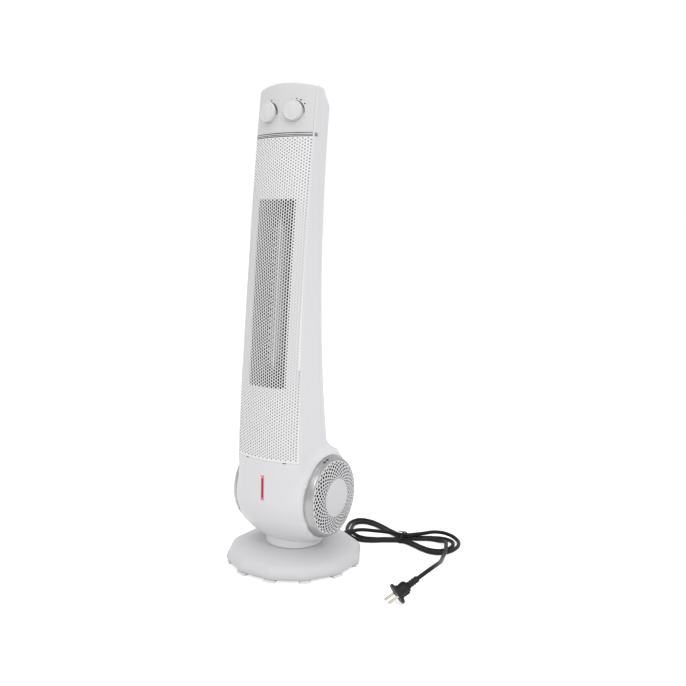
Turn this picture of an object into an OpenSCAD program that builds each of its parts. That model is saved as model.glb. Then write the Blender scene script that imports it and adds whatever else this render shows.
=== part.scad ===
// Tower fan heater: a leaning tower over a drum blower, on a round swivel base.
// Millimetres, +Z up, the front faces -Y. The origin is on the floor under the swivel axis.

/* [Tower] */
// Height of the top edge at its middle
tower_top = 769; // [740:1:800]
// Half of the tower's width at the top
top_half_w = 55.1; // [54:0.1:58]
// Half of the tower's width at the height of the drum axis
foot_half_w = 64.8; // [63:0.1:66]
// How far the front corners stand forward at the top
front_top = 14.3; // [12:0.1:18]
// How far the front corners stand forward at the drum axis
front_foot = 71.5; // [70:0.1:73]
// Crown of the front face across its width
front_crown = 14; // [12:0.5:15]
// How much narrower the back is than the front, each side
side_taper = 8; // [6:0.5:9]
// Depth of the back face behind the axis at the waist
waist_y = 9.8; // [6:0.1:12]
// Depth of the back face behind the axis at the shoulder
shoulder_y = 33; // [28:0.5:36]
// Drop of the top edge at its corners
top_arch = 7; // [4:0.5:10]
// Thickness of the plastic shells
wall = 3.2; // [3:0.1:3.6]

/* [Front face] */
// Height of the control panel with its strip
panel_h = 82; // [76:1:90]
// Thickness of the control panel
panel_t = 1.6; // [1.4:0.1:1.8]
// Height of the silver strip
strip_h = 6; // [4:0.5:8]
// How far the strip runs back along the sides
strip_wrap = 13; // [8:1:16]
// Thickness of the perforated front grille
grille_t = 1; // [0.8:0.1:1.2]
// Margin of shell beside the grille
grille_margin = 1.8; // [1.6:0.1:3]
// Height of the grille's lower edge above the drum axis
grille_rise = 68; // [66:1:76]
// Half of the width of the hot air window
window_half_w = 35.3; // [32:0.1:36]
// Height of the hot air window
window_h = 291; // [270:1:296]
// Distance from the strip down to the window
window_drop = 94; // [88:1:100]
// Diameter of the grille's holes over the window
vent_d = 5.6; // [4:0.1:6]
// Pitch of the grille's holes
vent_pitch = 9.6; // [9:0.1:12]

/* [Knobs] */
// Diameter of both knobs
knob_d = 31; // [26:0.5:34]
// How far the knobs stand out
knob_h = 12; // [9:0.5:15]
// Distance of each knob from the middle
knob_x = 23; // [21:0.5:25]
// Distance of the knobs below the top edge
knob_drop = 44; // [40:1:48]
// Diameter of the control shafts
control_shaft_d = 6; // [5:0.5:7]

/* [Drum] */
// Height of the drum axis
axis_z = 119; // [118:1:122]
// Radius of the drum at its middle
drum_r = 86; // [84:0.5:88]
// Radius of the drum at its ends
drum_end_r = 69; // [68.5:0.1:70]
// Half of the drum's length
drum_half = 68; // [66:0.5:70]
// Length of the indicator lens
lens_h = 39; // [30:1:42]
// Width of the indicator lens
lens_w = 4.6; // [3.5:0.1:6]

/* [Side covers] */
// How far the silver rings stand out of the drum ends
ring_depth = 11.2; // [9:0.1:13]
// Radius of the opening in the rings
cover_r = 60; // [57:0.5:60.5]
// How far the covers bulge past the rings
cover_dome = 5.5; // [4:0.5:8]
// Radius of the smooth middle of the covers
cap_r = 30; // [24:1:34]
// Diameter of the holes in the covers
cover_hole_d = 5; // [3:0.5:5]

/* [Blower] */
// Radius of the two impellers
wheel_r = 44; // [38:0.5:44]
// Width of each impeller
wheel_w = 26.5; // [22:0.5:27]
// Radius of the fan motor
motor_r = 24; // [20:0.5:28]
// Half of the fan motor's length
motor_half = 12.5; // [10:0.5:12.5]
// Diameter of the fan shaft
fan_shaft_d = 5; // [4:0.5:6]

/* [Base] */
// Radius of the base
base_r = 114.3; // [110:0.1:118]
// Height of the base's rim above the floor
foot_h = 4.5; // [4:0.1:6]
// Radius of the neck
neck_r = 44; // [42:0.5:46]
// Height of the neck's top
neck_top = 41.5; // [40:0.1:41.5]
// Thickness of the base's walls
base_wall = 2.5; // [2:0.1:3]
// Radius of the turntable under the drum
turntable_r = 47.5; // [46:0.5:50]
// Radius of the turntable's hollow spigot
spigot_r = 14; // [12:0.5:15]
// Swing of the body to each side
swing_angle = 35; // [20:1:40]

/* [Lead] */
// Diameter of the mains lead
lead_d = 6.6; // [6.2:0.1:6.6]
// Diameter of the plug's flange
plug_flange_d = 33; // [30:0.5:33]

/* [Hidden] */
$fn = 64;
white = [0.88, 0.88, 0.90];
pale = [0.82, 0.82, 0.84];
grey = [0.55, 0.55, 0.58];
silver = [0.72, 0.72, 0.73];
black = [0.08, 0.08, 0.08];
brass = [0.80, 0.68, 0.40];
// Clearance between pieces that are seated on each other
seat = 0.3;
// Radial running clearance of shafts and spigots
run = 0.05;
// Overshoot of cutting solids
over = 1;

// Heights along the tower
strip_bottom = tower_top - panel_h;
strip_top = strip_bottom + strip_h;
window_top = strip_bottom - window_drop;
window_bottom = window_top - window_h;
window_mid = (window_top + window_bottom) / 2;
grille_bottom = axis_z + grille_rise;
grille_top = strip_bottom - seat;
knob_z = tower_top - knob_drop;
chamfer_z = tower_top - 28;
arch_start = tower_top - 79;
waist_z = axis_z + 271;
hip_z = axis_z + 101;
hip_y = waist_y + 8.5;
flare = 20;
flare_run = 30;
flare_limit = 48;
top_flat_y = 15;
rear_corner = 5;
seam_y = -4;
seam_gap = 0.2;
column_z = neck_top + 0.8;
turntable_t = 5;
floor_z = column_z + turntable_t + seat;
floor_top = floor_z + wall;

function share(z) = max(0, (tower_top - z) / (tower_top - axis_z));
function half_w(z) = top_half_w + (foot_half_w - top_half_w) * pow(share(z), 2.2);
function front_y(z) =
    -front_top - (front_foot - front_top) * (1 - pow(max(0, 1 - share(z)), 1.58));
function face_y(x, z) = front_y(z) - front_crown * (1 - pow(x / half_w(z), 2));
function rear_y(z) =
    z > chamfer_z
        ? shoulder_y + (top_flat_y - shoulder_y) * (z - chamfer_z) / (tower_top - chamfer_z)
    : z > waist_z
        ? waist_y + (shoulder_y - waist_y) * pow((z - waist_z) / (chamfer_z - waist_z), 2)
    : z > hip_z
        ? waist_y + (hip_y - waist_y) * pow((waist_z - z) / (waist_z - hip_z), 2)
    : min(flare_limit, hip_y + flare * pow((hip_z - z) / flare_run, 3));
function arch_drop(x, z) =
    top_arch * pow(x / half_w(z), 2) * max(0, z - arch_start) / (tower_top - arch_start);

// The foot of the tower draws in below this height and ends inside the drum
tuck_z = axis_z + 11;
function tuck(z) = 0.015 * pow(max(0, tuck_z - z), 2);

// One level of the tower as a ring of points, seen from above, counterclockwise
front_steps = 10;
function section(z, inset) =
    let (w = half_w(z) - inset - tuck(z),
         back_w = w - side_taper,
         y0 = front_y(z) + inset + tuck(z),
         y1 = rear_y(z) - inset,
         r = min(rear_corner, 0.3 * (y1 - y0)))
    concat(
        [for (i = [0 : front_steps])
            let (t = 2 * i / front_steps - 1) [t * w, y0 - front_crown * (1 - t * t)]],
        [for (a = [0 : 30 : 90]) [back_w - r + r * cos(a), y1 - r + r * sin(a)]],
        [for (a = [90 : 30 : 180]) [-back_w + r + r * cos(a), y1 - r + r * sin(a)]]
    );

// Solid of the tower between the lowest and the highest level, drawn in by inset
module tower(levels, inset) {
    n = len(section(levels[0], inset));
    m = len(levels);
    ring_points = [for (z = levels) for (p = section(z, inset))
        [p[0], p[1], z - arch_drop(p[0], z)]];
    low = levels[0];
    high = levels[m - 1];
    caps = [
        [0, front_y(low), low],
        [0, (front_y(high) + rear_y(high) - front_crown) / 2, high]
    ];
    sides = [for (k = [0 : m - 2]) for (i = [0 : n - 1])
        let (a = k * n + i, b = k * n + (i + 1) % n)
        each [[a, a + n, b], [b, a + n, b + n]]];
    bottom = [for (i = [0 : n - 1]) [i, (i + 1) % n, m * n]];
    top = [for (i = [0 : n - 1]) [(m - 1) * n + (i + 1) % n, (m - 1) * n + i, m * n + 1]];
    polyhedron(points = concat(ring_points, caps), faces = concat(sides, bottom, top));
}

// Levels of the tower from inside the drum to a given height
function tower_levels(high) = concat(
    [for (k = [5 : -1 : 0]) tuck_z - 6 * k],
    [for (z = [hip_z - 66 : 24 : hip_z - 42]) z],
    [for (z = [hip_z - 34 : 6 : hip_z - 16]) z],
    [hip_z],
    [for (k = [1 : 3]) hip_z + (waist_z - hip_z) * k / 3],
    [for (k = [1 : 5]) waist_z + (chamfer_z - waist_z) * k / 5],
    [(chamfer_z + high) / 2, high]
);
function face_levels(z0, z1, steps) = [for (k = [0 : steps]) z0 + (z1 - z0) * k / steps];

// Solid of the drum, drawn in by inset
function drum_radius(x) = drum_r - (drum_r - drum_end_r) * pow(x / drum_half, 2);
drum_steps = 14;
module drum(inset) {
    half = drum_half - inset;
    translate([0, 0, axis_z])
        rotate([0, 90, 0])
            rotate_extrude($fn = 120)
                polygon(concat(
                    [[0, -half]],
                    [for (k = [0 : drum_steps])
                        let (x = half * (2 * k / drum_steps - 1)) [drum_radius(x) - inset, x]],
                    [[0, half]]
                ));
}

// Prism along Y from an outline in X and Z
module xz_prism(outline, y0, y1) {
    translate([0, y1, 0])
        rotate([90, 0, 0])
            linear_extrude(height = y1 - y0)
                polygon(outline);
}

// Prism along X from an outline in Y and Z
module yz_prism(outline, width) {
    rotate([90, 0, 90])
        linear_extrude(height = width, center = true)
            polygon(outline);
}

function rounded_outline(w, z0, z1, r) = concat(
    [for (a = [0 : 15 : 90]) [w - r + r * cos(a), z1 - r + r * sin(a)]],
    [for (a = [90 : 15 : 180]) [-w + r + r * cos(a), z1 - r + r * sin(a)]],
    [for (a = [180 : 15 : 270]) [-w + r + r * cos(a), z0 + r + r * sin(a)]],
    [for (a = [270 : 15 : 360]) [w - r + r * cos(a), z0 + r + r * sin(a)]]
);

// Layer of the tower's skin between two depths, from z0 to z1
module skin(z0, z1, outer, inner, steps) {
    difference() {
        tower(face_levels(z0, z1, steps), outer);
        tower(face_levels(z0 - over, z1 + over, steps), inner);
    }
}

// Outline of the front grille, grown by extra
function grille_outline(extra) =
    let (levels = face_levels(grille_bottom - extra, grille_top + extra, 8))
    concat(
        [for (z = levels) [half_w(z) - grille_margin + extra, z]],
        [for (k = [8 : -1 : 0])
            [-half_w(levels[k]) + grille_margin - extra, levels[k]]]
    );
// Space in front of the tower's corners, depth back from the corner edge
module corner_wedge(z0, z1, depth) {
    yz_prism(concat(
        [[-200, z1], [-200, z0]],
        [for (z = face_levels(z0, z1, 9)) [front_y(z) + depth, z]]
    ), 200);
}

// Heater core: it leans with the front face
lean = atan2(front_y(window_top) - front_y(window_bottom), window_h);
frame_half_w = window_half_w + 6;
frame_half_h = window_h / 2 + 14;
frame_depth = 24;
function inner_face_y(x, z) =
    front_y(z) + wall - front_crown * (1 - pow(x / (half_w(z) - wall), 2));
// The frame's front stays clear of the wall at its foot, middle and top
frame_front = max([for (s = [-1, 0, 1])
    inner_face_y(frame_half_w, window_mid + s * frame_half_h * cos(lean))
        - s * frame_half_h * sin(lean)]) + 2 * seat;
module leaned() {
    translate([0, frame_front, window_mid])
        rotate([-lean, 0, 0])
            children();
}
function leaned_y(y, z) = frame_front + y * cos(lean) + z * sin(lean);
function leaned_z(y, z) = window_mid - y * sin(lean) + z * cos(lean);

// Knobs: their axes follow the slope of the face
knob_tilt = 9;
face_slope = atan2(front_y(tower_top) - front_y(strip_top), tower_top - strip_top);
module at_knob(side) {
    translate([side * knob_x, face_y(knob_x, knob_z), knob_z])
        rotate([90 - face_slope, 0, side * knob_tilt])
            children();
}
pad_r = 11;
pad_depth = 7;

// Screws that hold the two shells together
post_r = 4;
post_bore = 1.5;
head_r = 3.5;
head_seat = 7;
post_places = [
    [40, strip_bottom - 38], [-40, strip_bottom - 38],
    [frame_half_w + post_r + 1.4, hip_z + 36], [-frame_half_w - post_r - 1.4, hip_z + 36]
];
module at_posts() {
    for (p = post_places)
        translate([p[0], seam_y, p[1]])
            rotate([-90, 0, 0])
                children();
}

// Screws that hold the turntable under the shells
turntable_screw_r = 30;
module at_turntable_screws() {
    for (a = [45 : 90 : 315])
        rotate([0, 0, a])
            translate([turntable_screw_r, 0, 0])
                children();
}

// Indicator
lens_z0 = axis_z + 4;
lens_z1 = lens_z0 + lens_h;
board_y = face_y(0, lens_z0) + 14;
board_t = 1.6;

// Drum ends
ring_hub_r = cover_r + 3.7;
hub_depth = 3.5;
module drum_end(side) {
    translate([side * drum_half, 0, axis_z])
        rotate([0, 90, side > 0 ? 0 : 180])
            children();
}

module body_outer() {
    tower(tower_levels(tower_top), 0);
    drum(0);
}

module body_void() {
    intersection() {
        union() {
            tower(tower_levels(tower_top - wall), wall);
            drum(wall);
        }
        translate([-100, -110, floor_top])
            cube([200, 220, tower_top]);
    }
}

// Material that stays inside the hollow: posts, pads and the window's rim
module body_ribs() {
    at_posts()
        translate([0, 0, -80])
            cylinder(h = 160, r = post_r, $fn = 24);
    for (side = [-1, 1])
        at_knob(side)
            translate([0, 0, -pad_depth])
                cylinder(h = pad_depth, r = pad_r, $fn = 32);
    leaned()
        difference() {
            translate([-frame_half_w, -40, -window_h / 2 - 5])
                cube([2 * frame_half_w, 40 - seat, window_h + 10]);
            translate([-window_half_w - 1, -41, -window_h / 2])
                cube([2 * window_half_w + 2, 42, window_h]);
        }
    for (z = [lens_z0 - 5, lens_z1 + 5])
        translate([0, board_y - seat, z])
            rotate([90, 0, 0])
                cylinder(h = 20, r = 3, $fn = 24);
    at_turntable_screws()
        translate([0, 0, floor_z])
            cylinder(h = 14, r = 4.5, $fn = 24);
}

module body_cuts() {
    // Recesses for the panel, the strip and the grille
    intersection() {
        skin(strip_top - over, tower_top + 3 * over, -3, panel_t + seat, 5);
        corner_wedge(strip_top, tower_top + 2 * over, panel_t + seat);
    }
    intersection() {
        skin(strip_bottom - 2 * over, strip_top + 2 * over, -3, panel_t + seat, 2);
        corner_wedge(strip_bottom, strip_top, strip_wrap + seat);
    }
    intersection() {
        skin(grille_bottom - 2 * over, grille_top + 2 * over, -3, grille_t + seat, 9);
        xz_prism(grille_outline(seat), -120, -10);
        corner_wedge(grille_bottom - over, grille_top + over, grille_t + seat + over);
    }
    // Hot air window
    xz_prism(rounded_outline(window_half_w, window_bottom, window_top, 6), -120,
        front_y(window_top) - 2);
    // Bores of the control shafts
    for (side = [-1, 1])
        at_knob(side)
            translate([0, 0, -pad_depth - over])
                cylinder(h = pad_depth + 10, d = control_shaft_d + 2, $fn = 32);
    // Drum ends, lens slot, neck and turntable seat
    for (side = [-1, 1])
        drum_end(side)
            translate([0, 0, -20])
                cylinder(h = 40, r = ring_hub_r + seat);
    translate([-lens_w / 2 - seat, -120, lens_z0 - seat])
        cube([lens_w + 2 * seat, 60, lens_h + 2 * seat]);
    cylinder(h = floor_z, r = turntable_r + seat, $fn = 96);
    translate([-120, -120, 0])
        cube([240, 240, column_z]);
    cylinder(h = floor_top + over, r = spigot_r - 2);
    at_turntable_screws()
        translate([0, 0, floor_z - over])
            cylinder(h = 11, r = 1.5, $fn = 24);
    // Screw bores and countersunk seats in the shells' posts
    at_posts() {
        translate([0, 0, -16])
            cylinder(h = 30, r = post_bore, $fn = 24);
        cylinder(h = 60, r = 2.1, $fn = 24);
        translate([0, 0, head_seat])
            cylinder(h = 60, r = head_r + seat, $fn = 24);
    }
}

module body_shell() {
    difference() {
        body_outer();
        difference() {
            body_void();
            body_ribs();
        }
        body_cuts();
    }
}

module front_shell() {
    color(white)
        intersection() {
            body_shell();
            translate([-120, -120, 0])
                cube([240, 120 + seam_y, tower_top + 20]);
        }
}

module rear_shell() {
    color(white)
        intersection() {
            body_shell();
            translate([-120, seam_y + seam_gap, 0])
                cube([240, 120, tower_top + 20]);
        }
}

// Pan head screw with its head's underside at z = 0, pointing down
module screw(length, r) {
    translate([0, 0, -length])
        cylinder(h = length, r = r, $fn = 24);
    difference() {
        cylinder(h = 2.4, r = head_r, $fn = 24);
        translate([0, 0, 1.2])
            cube([0.9, 4.2, 2.6], center = true);
        translate([0, 0, 1.2])
            cube([4.2, 0.9, 2.6], center = true);
    }
}

module shell_screws() {
    color(grey)
        at_posts()
            translate([0, 0, head_seat + 0.05])
                screw(20, 1.4);
}

module turntable_screws() {
    color(grey)
        at_turntable_screws()
            translate([0, 0, column_z + 2.6])
                rotate([180, 0, 0])
                    screw(9, 1.4);
}

module control_panel() {
    color(pale)
        difference() {
            intersection() {
                skin(strip_top + seat, tower_top, 0, panel_t, 6);
                corner_wedge(strip_top + seat, tower_top + over, panel_t);
            }
            for (side = [-1, 1])
                at_knob(side)
                    translate([0, 0, -10])
                        cylinder(h = 20, d = control_shaft_d + 2, $fn = 32);
        }
}

module trim_strip() {
    color(silver)
        difference() {
            intersection() {
                skin(strip_bottom + 0.1, strip_top - 0.1, -0.4, panel_t, 2);
                corner_wedge(strip_bottom, strip_top, strip_wrap);
            }
            // Fine groove along each edge
            for (z = [strip_bottom + 1.2, strip_top - 1.8])
                skin(z, z + 0.6, -3, -0.1, 1);
        }
}

vent_rows = floor((window_h - vent_d - 3) / (vent_pitch * 0.866));
vent_columns = floor((2 * window_half_w - vent_d - 3) / vent_pitch);
module front_grille() {
    color(white)
        intersection() {
            skin(grille_bottom, grille_top, 0.1, grille_t + 0.1, 9);
            corner_wedge(grille_bottom, grille_top, grille_t + over);
            translate([0, -10, 0])
                rotate([90, 0, 0])
                    linear_extrude(height = 110)
                        difference() {
                            polygon(grille_outline(0));
                            for (j = [0 : vent_rows])
                                for (i = [0 : vent_columns - j % 2])
                                    translate([
                                        (i - (vent_columns - j % 2) / 2) * vent_pitch,
                                        window_mid + (j - vent_rows / 2) * vent_pitch * 0.866
                                    ])
                                        circle(d = vent_d, $fn = 24);
                        }
        }
}

module indicator_lens() {
    color([0.62, 0.12, 0.2])
        yz_prism([
            [face_y(0, lens_z0) - 0.5, lens_z0], [face_y(0, lens_z0) + wall + 2.5, lens_z0],
            [face_y(0, lens_z0) + wall + 2.5, lens_z1], [face_y(0, lens_z1) - 0.5, lens_z1]
        ], lens_w);
    color([0.62, 0.12, 0.2])
        translate([-lens_w / 2 - 3, face_y(0, lens_z0) + wall + 1, lens_z0 + 3])
            cube([lens_w + 6, 1.4, lens_h - 6]);
}

module indicator_board() {
    color([0.16, 0.36, 0.2])
        translate([-6, board_y, lens_z0 - 8])
            cube([12, board_t, lens_h + 16]);
    color(pale)
        for (z = [lens_z0 + 8 : 7.5 : lens_z1 - 6])
            translate([0, board_y - 3, z])
                rotate([-90, 0, 0])
                    cylinder(h = 3, r = 1.8, $fn = 24);
}

// Silver ring that closes each end of the drum and locks the cover
lip_back = 6.4;
lug_z = lip_back - 1.2;
lug_h = 2.2;
lug_angle = 7;
twist = 20;
module side_ring(side) {
    color(silver)
        drum_end(side)
            difference() {
                rotate_extrude($fn = 120)
                    polygon([
                        [ring_hub_r + 3.9, 0.2], [cover_r + 1.4, ring_depth],
                        [cover_r + seat, ring_depth], [cover_r + seat, lip_back - 1],
                        [cover_r + 2.5, lip_back - 1], [cover_r + 2.5, -1.5],
                        [cover_r - 6, -1.5], [cover_r - 6, -hub_depth],
                        [ring_hub_r, -hub_depth], [ring_hub_r, 0.2]
                    ]);
                // Entry slots for the cover's lugs
                for (a = [0 : 120 : 240])
                    rotate([0, 0, a + side * twist])
                        translate([cover_r - 1, -cover_r * sin(lug_angle) - 0.5, lip_back - 2])
                            cube([3.4, 2 * cover_r * sin(lug_angle) + 1, ring_depth]);
            }
}
module side_ring_left() {
    side_ring(-1);
}
module side_ring_right() {
    side_ring(1);
}

module filter(side) {
    color(grey)
        drum_end(side)
            translate([0, 0, -1.2])
                difference() {
                    cylinder(h = 1.8, r = cover_r - 0.6);
                    for (k = [-3 : 3])
                        translate([16 * k - 1.5 - 5, -42 + 3 * abs(k), -1])
                            cube([13, 84 - 6 * abs(k), 2]);
                }
}
module filter_left() {
    filter(-1);
}
module filter_right() {
    filter(1);
}

// Twist-off cover: rim, shallow cone with rings of holes, flat cap, three lugs
cover_t = 1.8;
cover_rows = 4;
holes_per_row = 28;
module side_cover(side) {
    rim_r = cover_r;
    color(white)
        drum_end(side) {
            difference() {
                rotate_extrude($fn = 120)
                    polygon([
                        [rim_r, 2.2], [rim_r, ring_depth - 0.6],
                        [rim_r - 0.6, ring_depth],
                        [(rim_r + cap_r) / 2 + 3, ring_depth + 0.66 * cover_dome],
                        [cap_r, ring_depth + cover_dome], [0, ring_depth + cover_dome + 0.4],
                        [0, ring_depth + cover_dome + 0.4 - cover_t],
                        [cap_r, ring_depth + cover_dome - cover_t],
                        [(rim_r + cap_r) / 2 + 3, ring_depth + 0.66 * cover_dome - cover_t],
                        [rim_r - 2, ring_depth - cover_t], [rim_r - 2, 2.2]
                    ]);
                for (j = [0 : cover_rows - 1])
                    for (i = [0 : holes_per_row - 1])
                        rotate([0, 0, (i + j * 0.5) * 360 / holes_per_row])
                            translate([
                                cap_r + 3.6 + j * (rim_r - cap_r - 8.6) / (cover_rows - 1), 0,
                                ring_depth - 4
                            ])
                                cylinder(h = cover_dome + 10, d = cover_hole_d
                                    * (0.72 + 0.28 * j / (cover_rows - 1)), $fn = 24);
            }
            for (a = [0 : 120 : 240])
                rotate([0, 0, a])
                    translate([rim_r - 1, -rim_r * sin(lug_angle) * 0.9, lug_z - lug_h])
                        cube([2.6, 2 * rim_r * sin(lug_angle) * 0.9, lug_h]);
        }
}
module side_cover_left() {
    side_cover(-1);
}
module side_cover_right() {
    side_cover(1);
}

// Blower: two scrolls back to back, with the motor between them
plate_t = 2;
scroll_in = motor_half + seat;
scroll_out = scroll_in + 2 * plate_t + wheel_w + 2;
scroll_top = hip_z - 27;
tongue_angle = 112;
tongue_r = wheel_r + 3;
outlet_front = tongue_r + 12;
outlet_back = tongue_r * cos(tongue_angle) - 3;
function scroll_outline(grow) = concat(
    [for (a = [tongue_angle - 3 * grow : -12 : -180])
        let (r = tongue_r + grow
            + (outlet_front - tongue_r) * (tongue_angle - a) / (tongue_angle + 180))
        [r * cos(a), axis_z + r * sin(a)]],
    [[-outlet_front - grow, axis_z], [-outlet_front - grow, scroll_top + (grow > 0 ? 0 : over)],
     [outlet_back + grow, scroll_top + (grow > 0 ? 0 : over)]]
);
scroll_foot = floor_top + seat;
module scroll(side) {
    middle = side * (scroll_in + scroll_out) / 2;
    color(grey)
        difference() {
            union() {
                translate([middle, 0, 0])
                    yz_prism(scroll_outline(plate_t), scroll_out - scroll_in);
                translate([middle - 8, -14, scroll_foot])
                    cube([16, 28, axis_z - tongue_r - 6 - scroll_foot]);
            }
            translate([middle, 0, 0])
                yz_prism(scroll_outline(0), scroll_out - scroll_in - 2 * plate_t);
            // Inlet on the outer side and bore for the motor shaft on the inner side
            translate([side * (scroll_out - plate_t - over), 0, axis_z])
                rotate([0, side * 90, 0])
                    cylinder(h = 20, r = wheel_r - 10);
            translate([side * (scroll_in - over), 0, axis_z])
                rotate([0, side * 90, 0])
                    cylinder(h = plate_t + 2 * over, r = 8, $fn = 32);
        }
}
module scroll_left() {
    scroll(-1);
}
module scroll_right() {
    scroll(1);
}

module fan_motor() {
    color(silver)
        translate([0, 0, axis_z])
            rotate([0, 90, 0])
                difference() {
                    union() {
                        cylinder(h = 2 * motor_half, r = motor_r, center = true);
                        cylinder(h = 2 * motor_half + 3, r = 7, center = true, $fn = 32);
                    }
                    cylinder(h = 60, d = fan_shaft_d + 2 * run, center = true, $fn = 32);
                }
}

shaft_half = scroll_out - plate_t - 1;
module fan_shaft() {
    color(silver)
        translate([0, 0, axis_z])
            rotate([0, 90, 0])
                cylinder(h = 2 * shaft_half, d = fan_shaft_d, center = true, $fn = 32);
}

blades = 24;
module impeller(side) {
    start = scroll_in + plate_t + 1;
    color(grey)
        translate([side * start, 0, axis_z])
            rotate([0, side * 90, 0]) {
                difference() {
                    union() {
                        cylinder(h = 2, r = wheel_r);
                        cylinder(h = 12, r = 6, $fn = 32);
                        for (i = [0 : blades - 1])
                            rotate([0, 0, i * 360 / blades])
                                translate([wheel_r - 4.5, 0, wheel_w / 2])
                                    rotate([0, 0, 30])
                                        cube([8, 0.9, wheel_w - 1], center = true);
                    }
                    translate([0, 0, -over])
                        cylinder(h = 30, d = fan_shaft_d + 2 * run, $fn = 32);
                }
                translate([0, 0, wheel_w - 2])
                    difference() {
                        cylinder(h = 2, r = wheel_r);
                        translate([0, 0, -over])
                            cylinder(h = 4, r = wheel_r - 8);
                    }
            }
}
module impeller_left() {
    impeller(-1);
}
module impeller_right() {
    impeller(1);
}

// Duct from the scrolls' outlets to the back of the heater
duct_half = frame_half_w + 1;
duct_t = 2;
duct_bottom = scroll_top + seat;
frame_back_low = leaned_y(frame_depth + seat, -frame_half_h);
duct_low_z = leaned_z(frame_depth + seat, -frame_half_h);
duct_rear = waist_y - wall - 1;
function duct_outline(t) = [
    [-outlet_front - plate_t + t, duct_bottom - (t > 0 ? over : 0)],
    [outlet_back + plate_t - t, duct_bottom - (t > 0 ? over : 0)],
    [duct_rear - t, duct_low_z - 34],
    [duct_rear - t, window_mid - 40],
    [leaned_y(frame_depth + 9 - t, frame_half_h), leaned_z(frame_depth, frame_half_h - t)],
    [leaned_y(frame_depth + seat - 3 * t, frame_half_h),
        leaned_z(frame_depth + seat, frame_half_h - t)],
    [leaned_y(frame_depth + seat - 3 * t, -frame_half_h),
        leaned_z(frame_depth + seat, -frame_half_h + t)],
    [frame_back_low + t, duct_low_z - t / 2]
];
// The duct's rear corners are bevelled to clear the rounded corners of the rear shell
bevel = 7.5;
module duct_form(t) {
    intersection() {
        yz_prism(duct_outline(t), 2 * (duct_half - t));
        linear_extrude(height = tower_top)
            polygon([
                [-duct_half + t, -120], [duct_half - t, -120],
                [duct_half - t, duct_rear - bevel - 0.4 * t],
                [duct_half - bevel - 0.4 * t, duct_rear - t],
                [-duct_half + bevel + 0.4 * t, duct_rear - t],
                [-duct_half + t, duct_rear - bevel - 0.4 * t]
            ]);
    }
}
module air_duct() {
    color(grey)
        difference() {
            duct_form(0);
            duct_form(duct_t);
        }
}

module heater_frame() {
    color([0.25, 0.25, 0.27])
        leaned()
            difference() {
                translate([-frame_half_w, 0, -frame_half_h])
                    cube([2 * frame_half_w, frame_depth, 2 * frame_half_h]);
                translate([-window_half_w + 1, -over, -window_h / 2 - 1])
                    cube([2 * window_half_w - 2, frame_depth + 2 * over, window_h + 2]);
                // Slots that hold the ends of the ceramic strips
                for (i = [-1 : 1])
                    translate([i * strip_pitch - strip_t / 2 - 0.1, 4.9, -window_h / 2 - 6])
                        cube([strip_t + 0.2, strip_depth + 0.2, window_h + 12]);
            }
}

strip_pitch = window_half_w / 2;
strip_t = 3.4;
strip_depth = 14;
module ceramic_strips() {
    color([0.80, 0.74, 0.62])
        leaned()
            for (i = [-1 : 1])
                translate([i * strip_pitch - strip_t / 2, 5, -window_h / 2 - 5.8])
                    cube([strip_t, strip_depth, window_h + 11.6]);
}

// Corrugated fin between two strips, drawn as a folded band
fin_pitch = 10;
fin_t = 0.8;
fin_folds = floor(window_h / fin_pitch) - 1;
function fin_outline(w) =
    let (half = fin_pitch / 2, slant = fin_t * norm([w, half]) / half)
    concat(
        [for (k = [0 : 2 * fin_folds]) [k % 2 == 0 ? 0 : w - slant, (k - fin_folds) * half]],
        [for (k = [2 * fin_folds : -1 : 0]) [k % 2 == 0 ? slant : w, (k - fin_folds) * half]]
    );
module heater_fins() {
    w = strip_pitch - strip_t - 0.6;
    color([0.62, 0.55, 0.47])
        leaned()
            for (i = [-2 : 1])
                translate([i * strip_pitch + strip_t / 2 + 0.3, 6 + strip_depth - 2, 0])
                    rotate([90, 0, 0])
                        linear_extrude(height = strip_depth - 2)
                            polygon(fin_outline(w));
}

module thermal_cutout() {
    color(silver)
        leaned()
            translate([0, frame_depth + 0.1, window_h / 2 + 6.4])
                rotate([-90, 0, 0]) {
                    cylinder(h = 3, r = 5, $fn = 32);
                    translate([-10, -3, 0])
                        cube([20, 6, 0.8]);
                    for (x = [-3, 3])
                        translate([x - 1.6, -0.4, 2.5])
                            cube([3.2, 0.8, 4]);
                }
}

// Controls behind the panel
body_depth = 17;
module control_body(side, w, h) {
    at_knob(side)
        difference() {
            union() {
                translate([-w / 2, -h / 2, -pad_depth - seat - body_depth])
                    cube([w, h, body_depth]);
                translate([0, 0, -pad_depth - seat])
                    cylinder(h = 3, d = control_shaft_d + 1.4, $fn = 32);
            }
            translate([0, 0, -pad_depth - seat - 6])
                cylinder(h = 12, d = control_shaft_d + 2 * run, $fn = 32);
        }
}
module thermostat() {
    color(silver)
        control_body(-1, 26, 22);
}
module rotary_switch() {
    color([0.75, 0.72, 0.62])
        control_body(1, 24, 24);
}

module control_shaft(side) {
    color(silver)
        at_knob(side)
            translate([0, 0, -pad_depth - seat - 5.5])
                difference() {
                    cylinder(h = pad_depth + 14, d = control_shaft_d, $fn = 32);
                    // Flat that carries the knob
                    translate([control_shaft_d / 2 - 1, -5, pad_depth + 7])
                        cube([5, 10, 20]);
                }
}
module thermostat_shaft() {
    control_shaft(-1);
}
module switch_shaft() {
    control_shaft(1);
}

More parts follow.
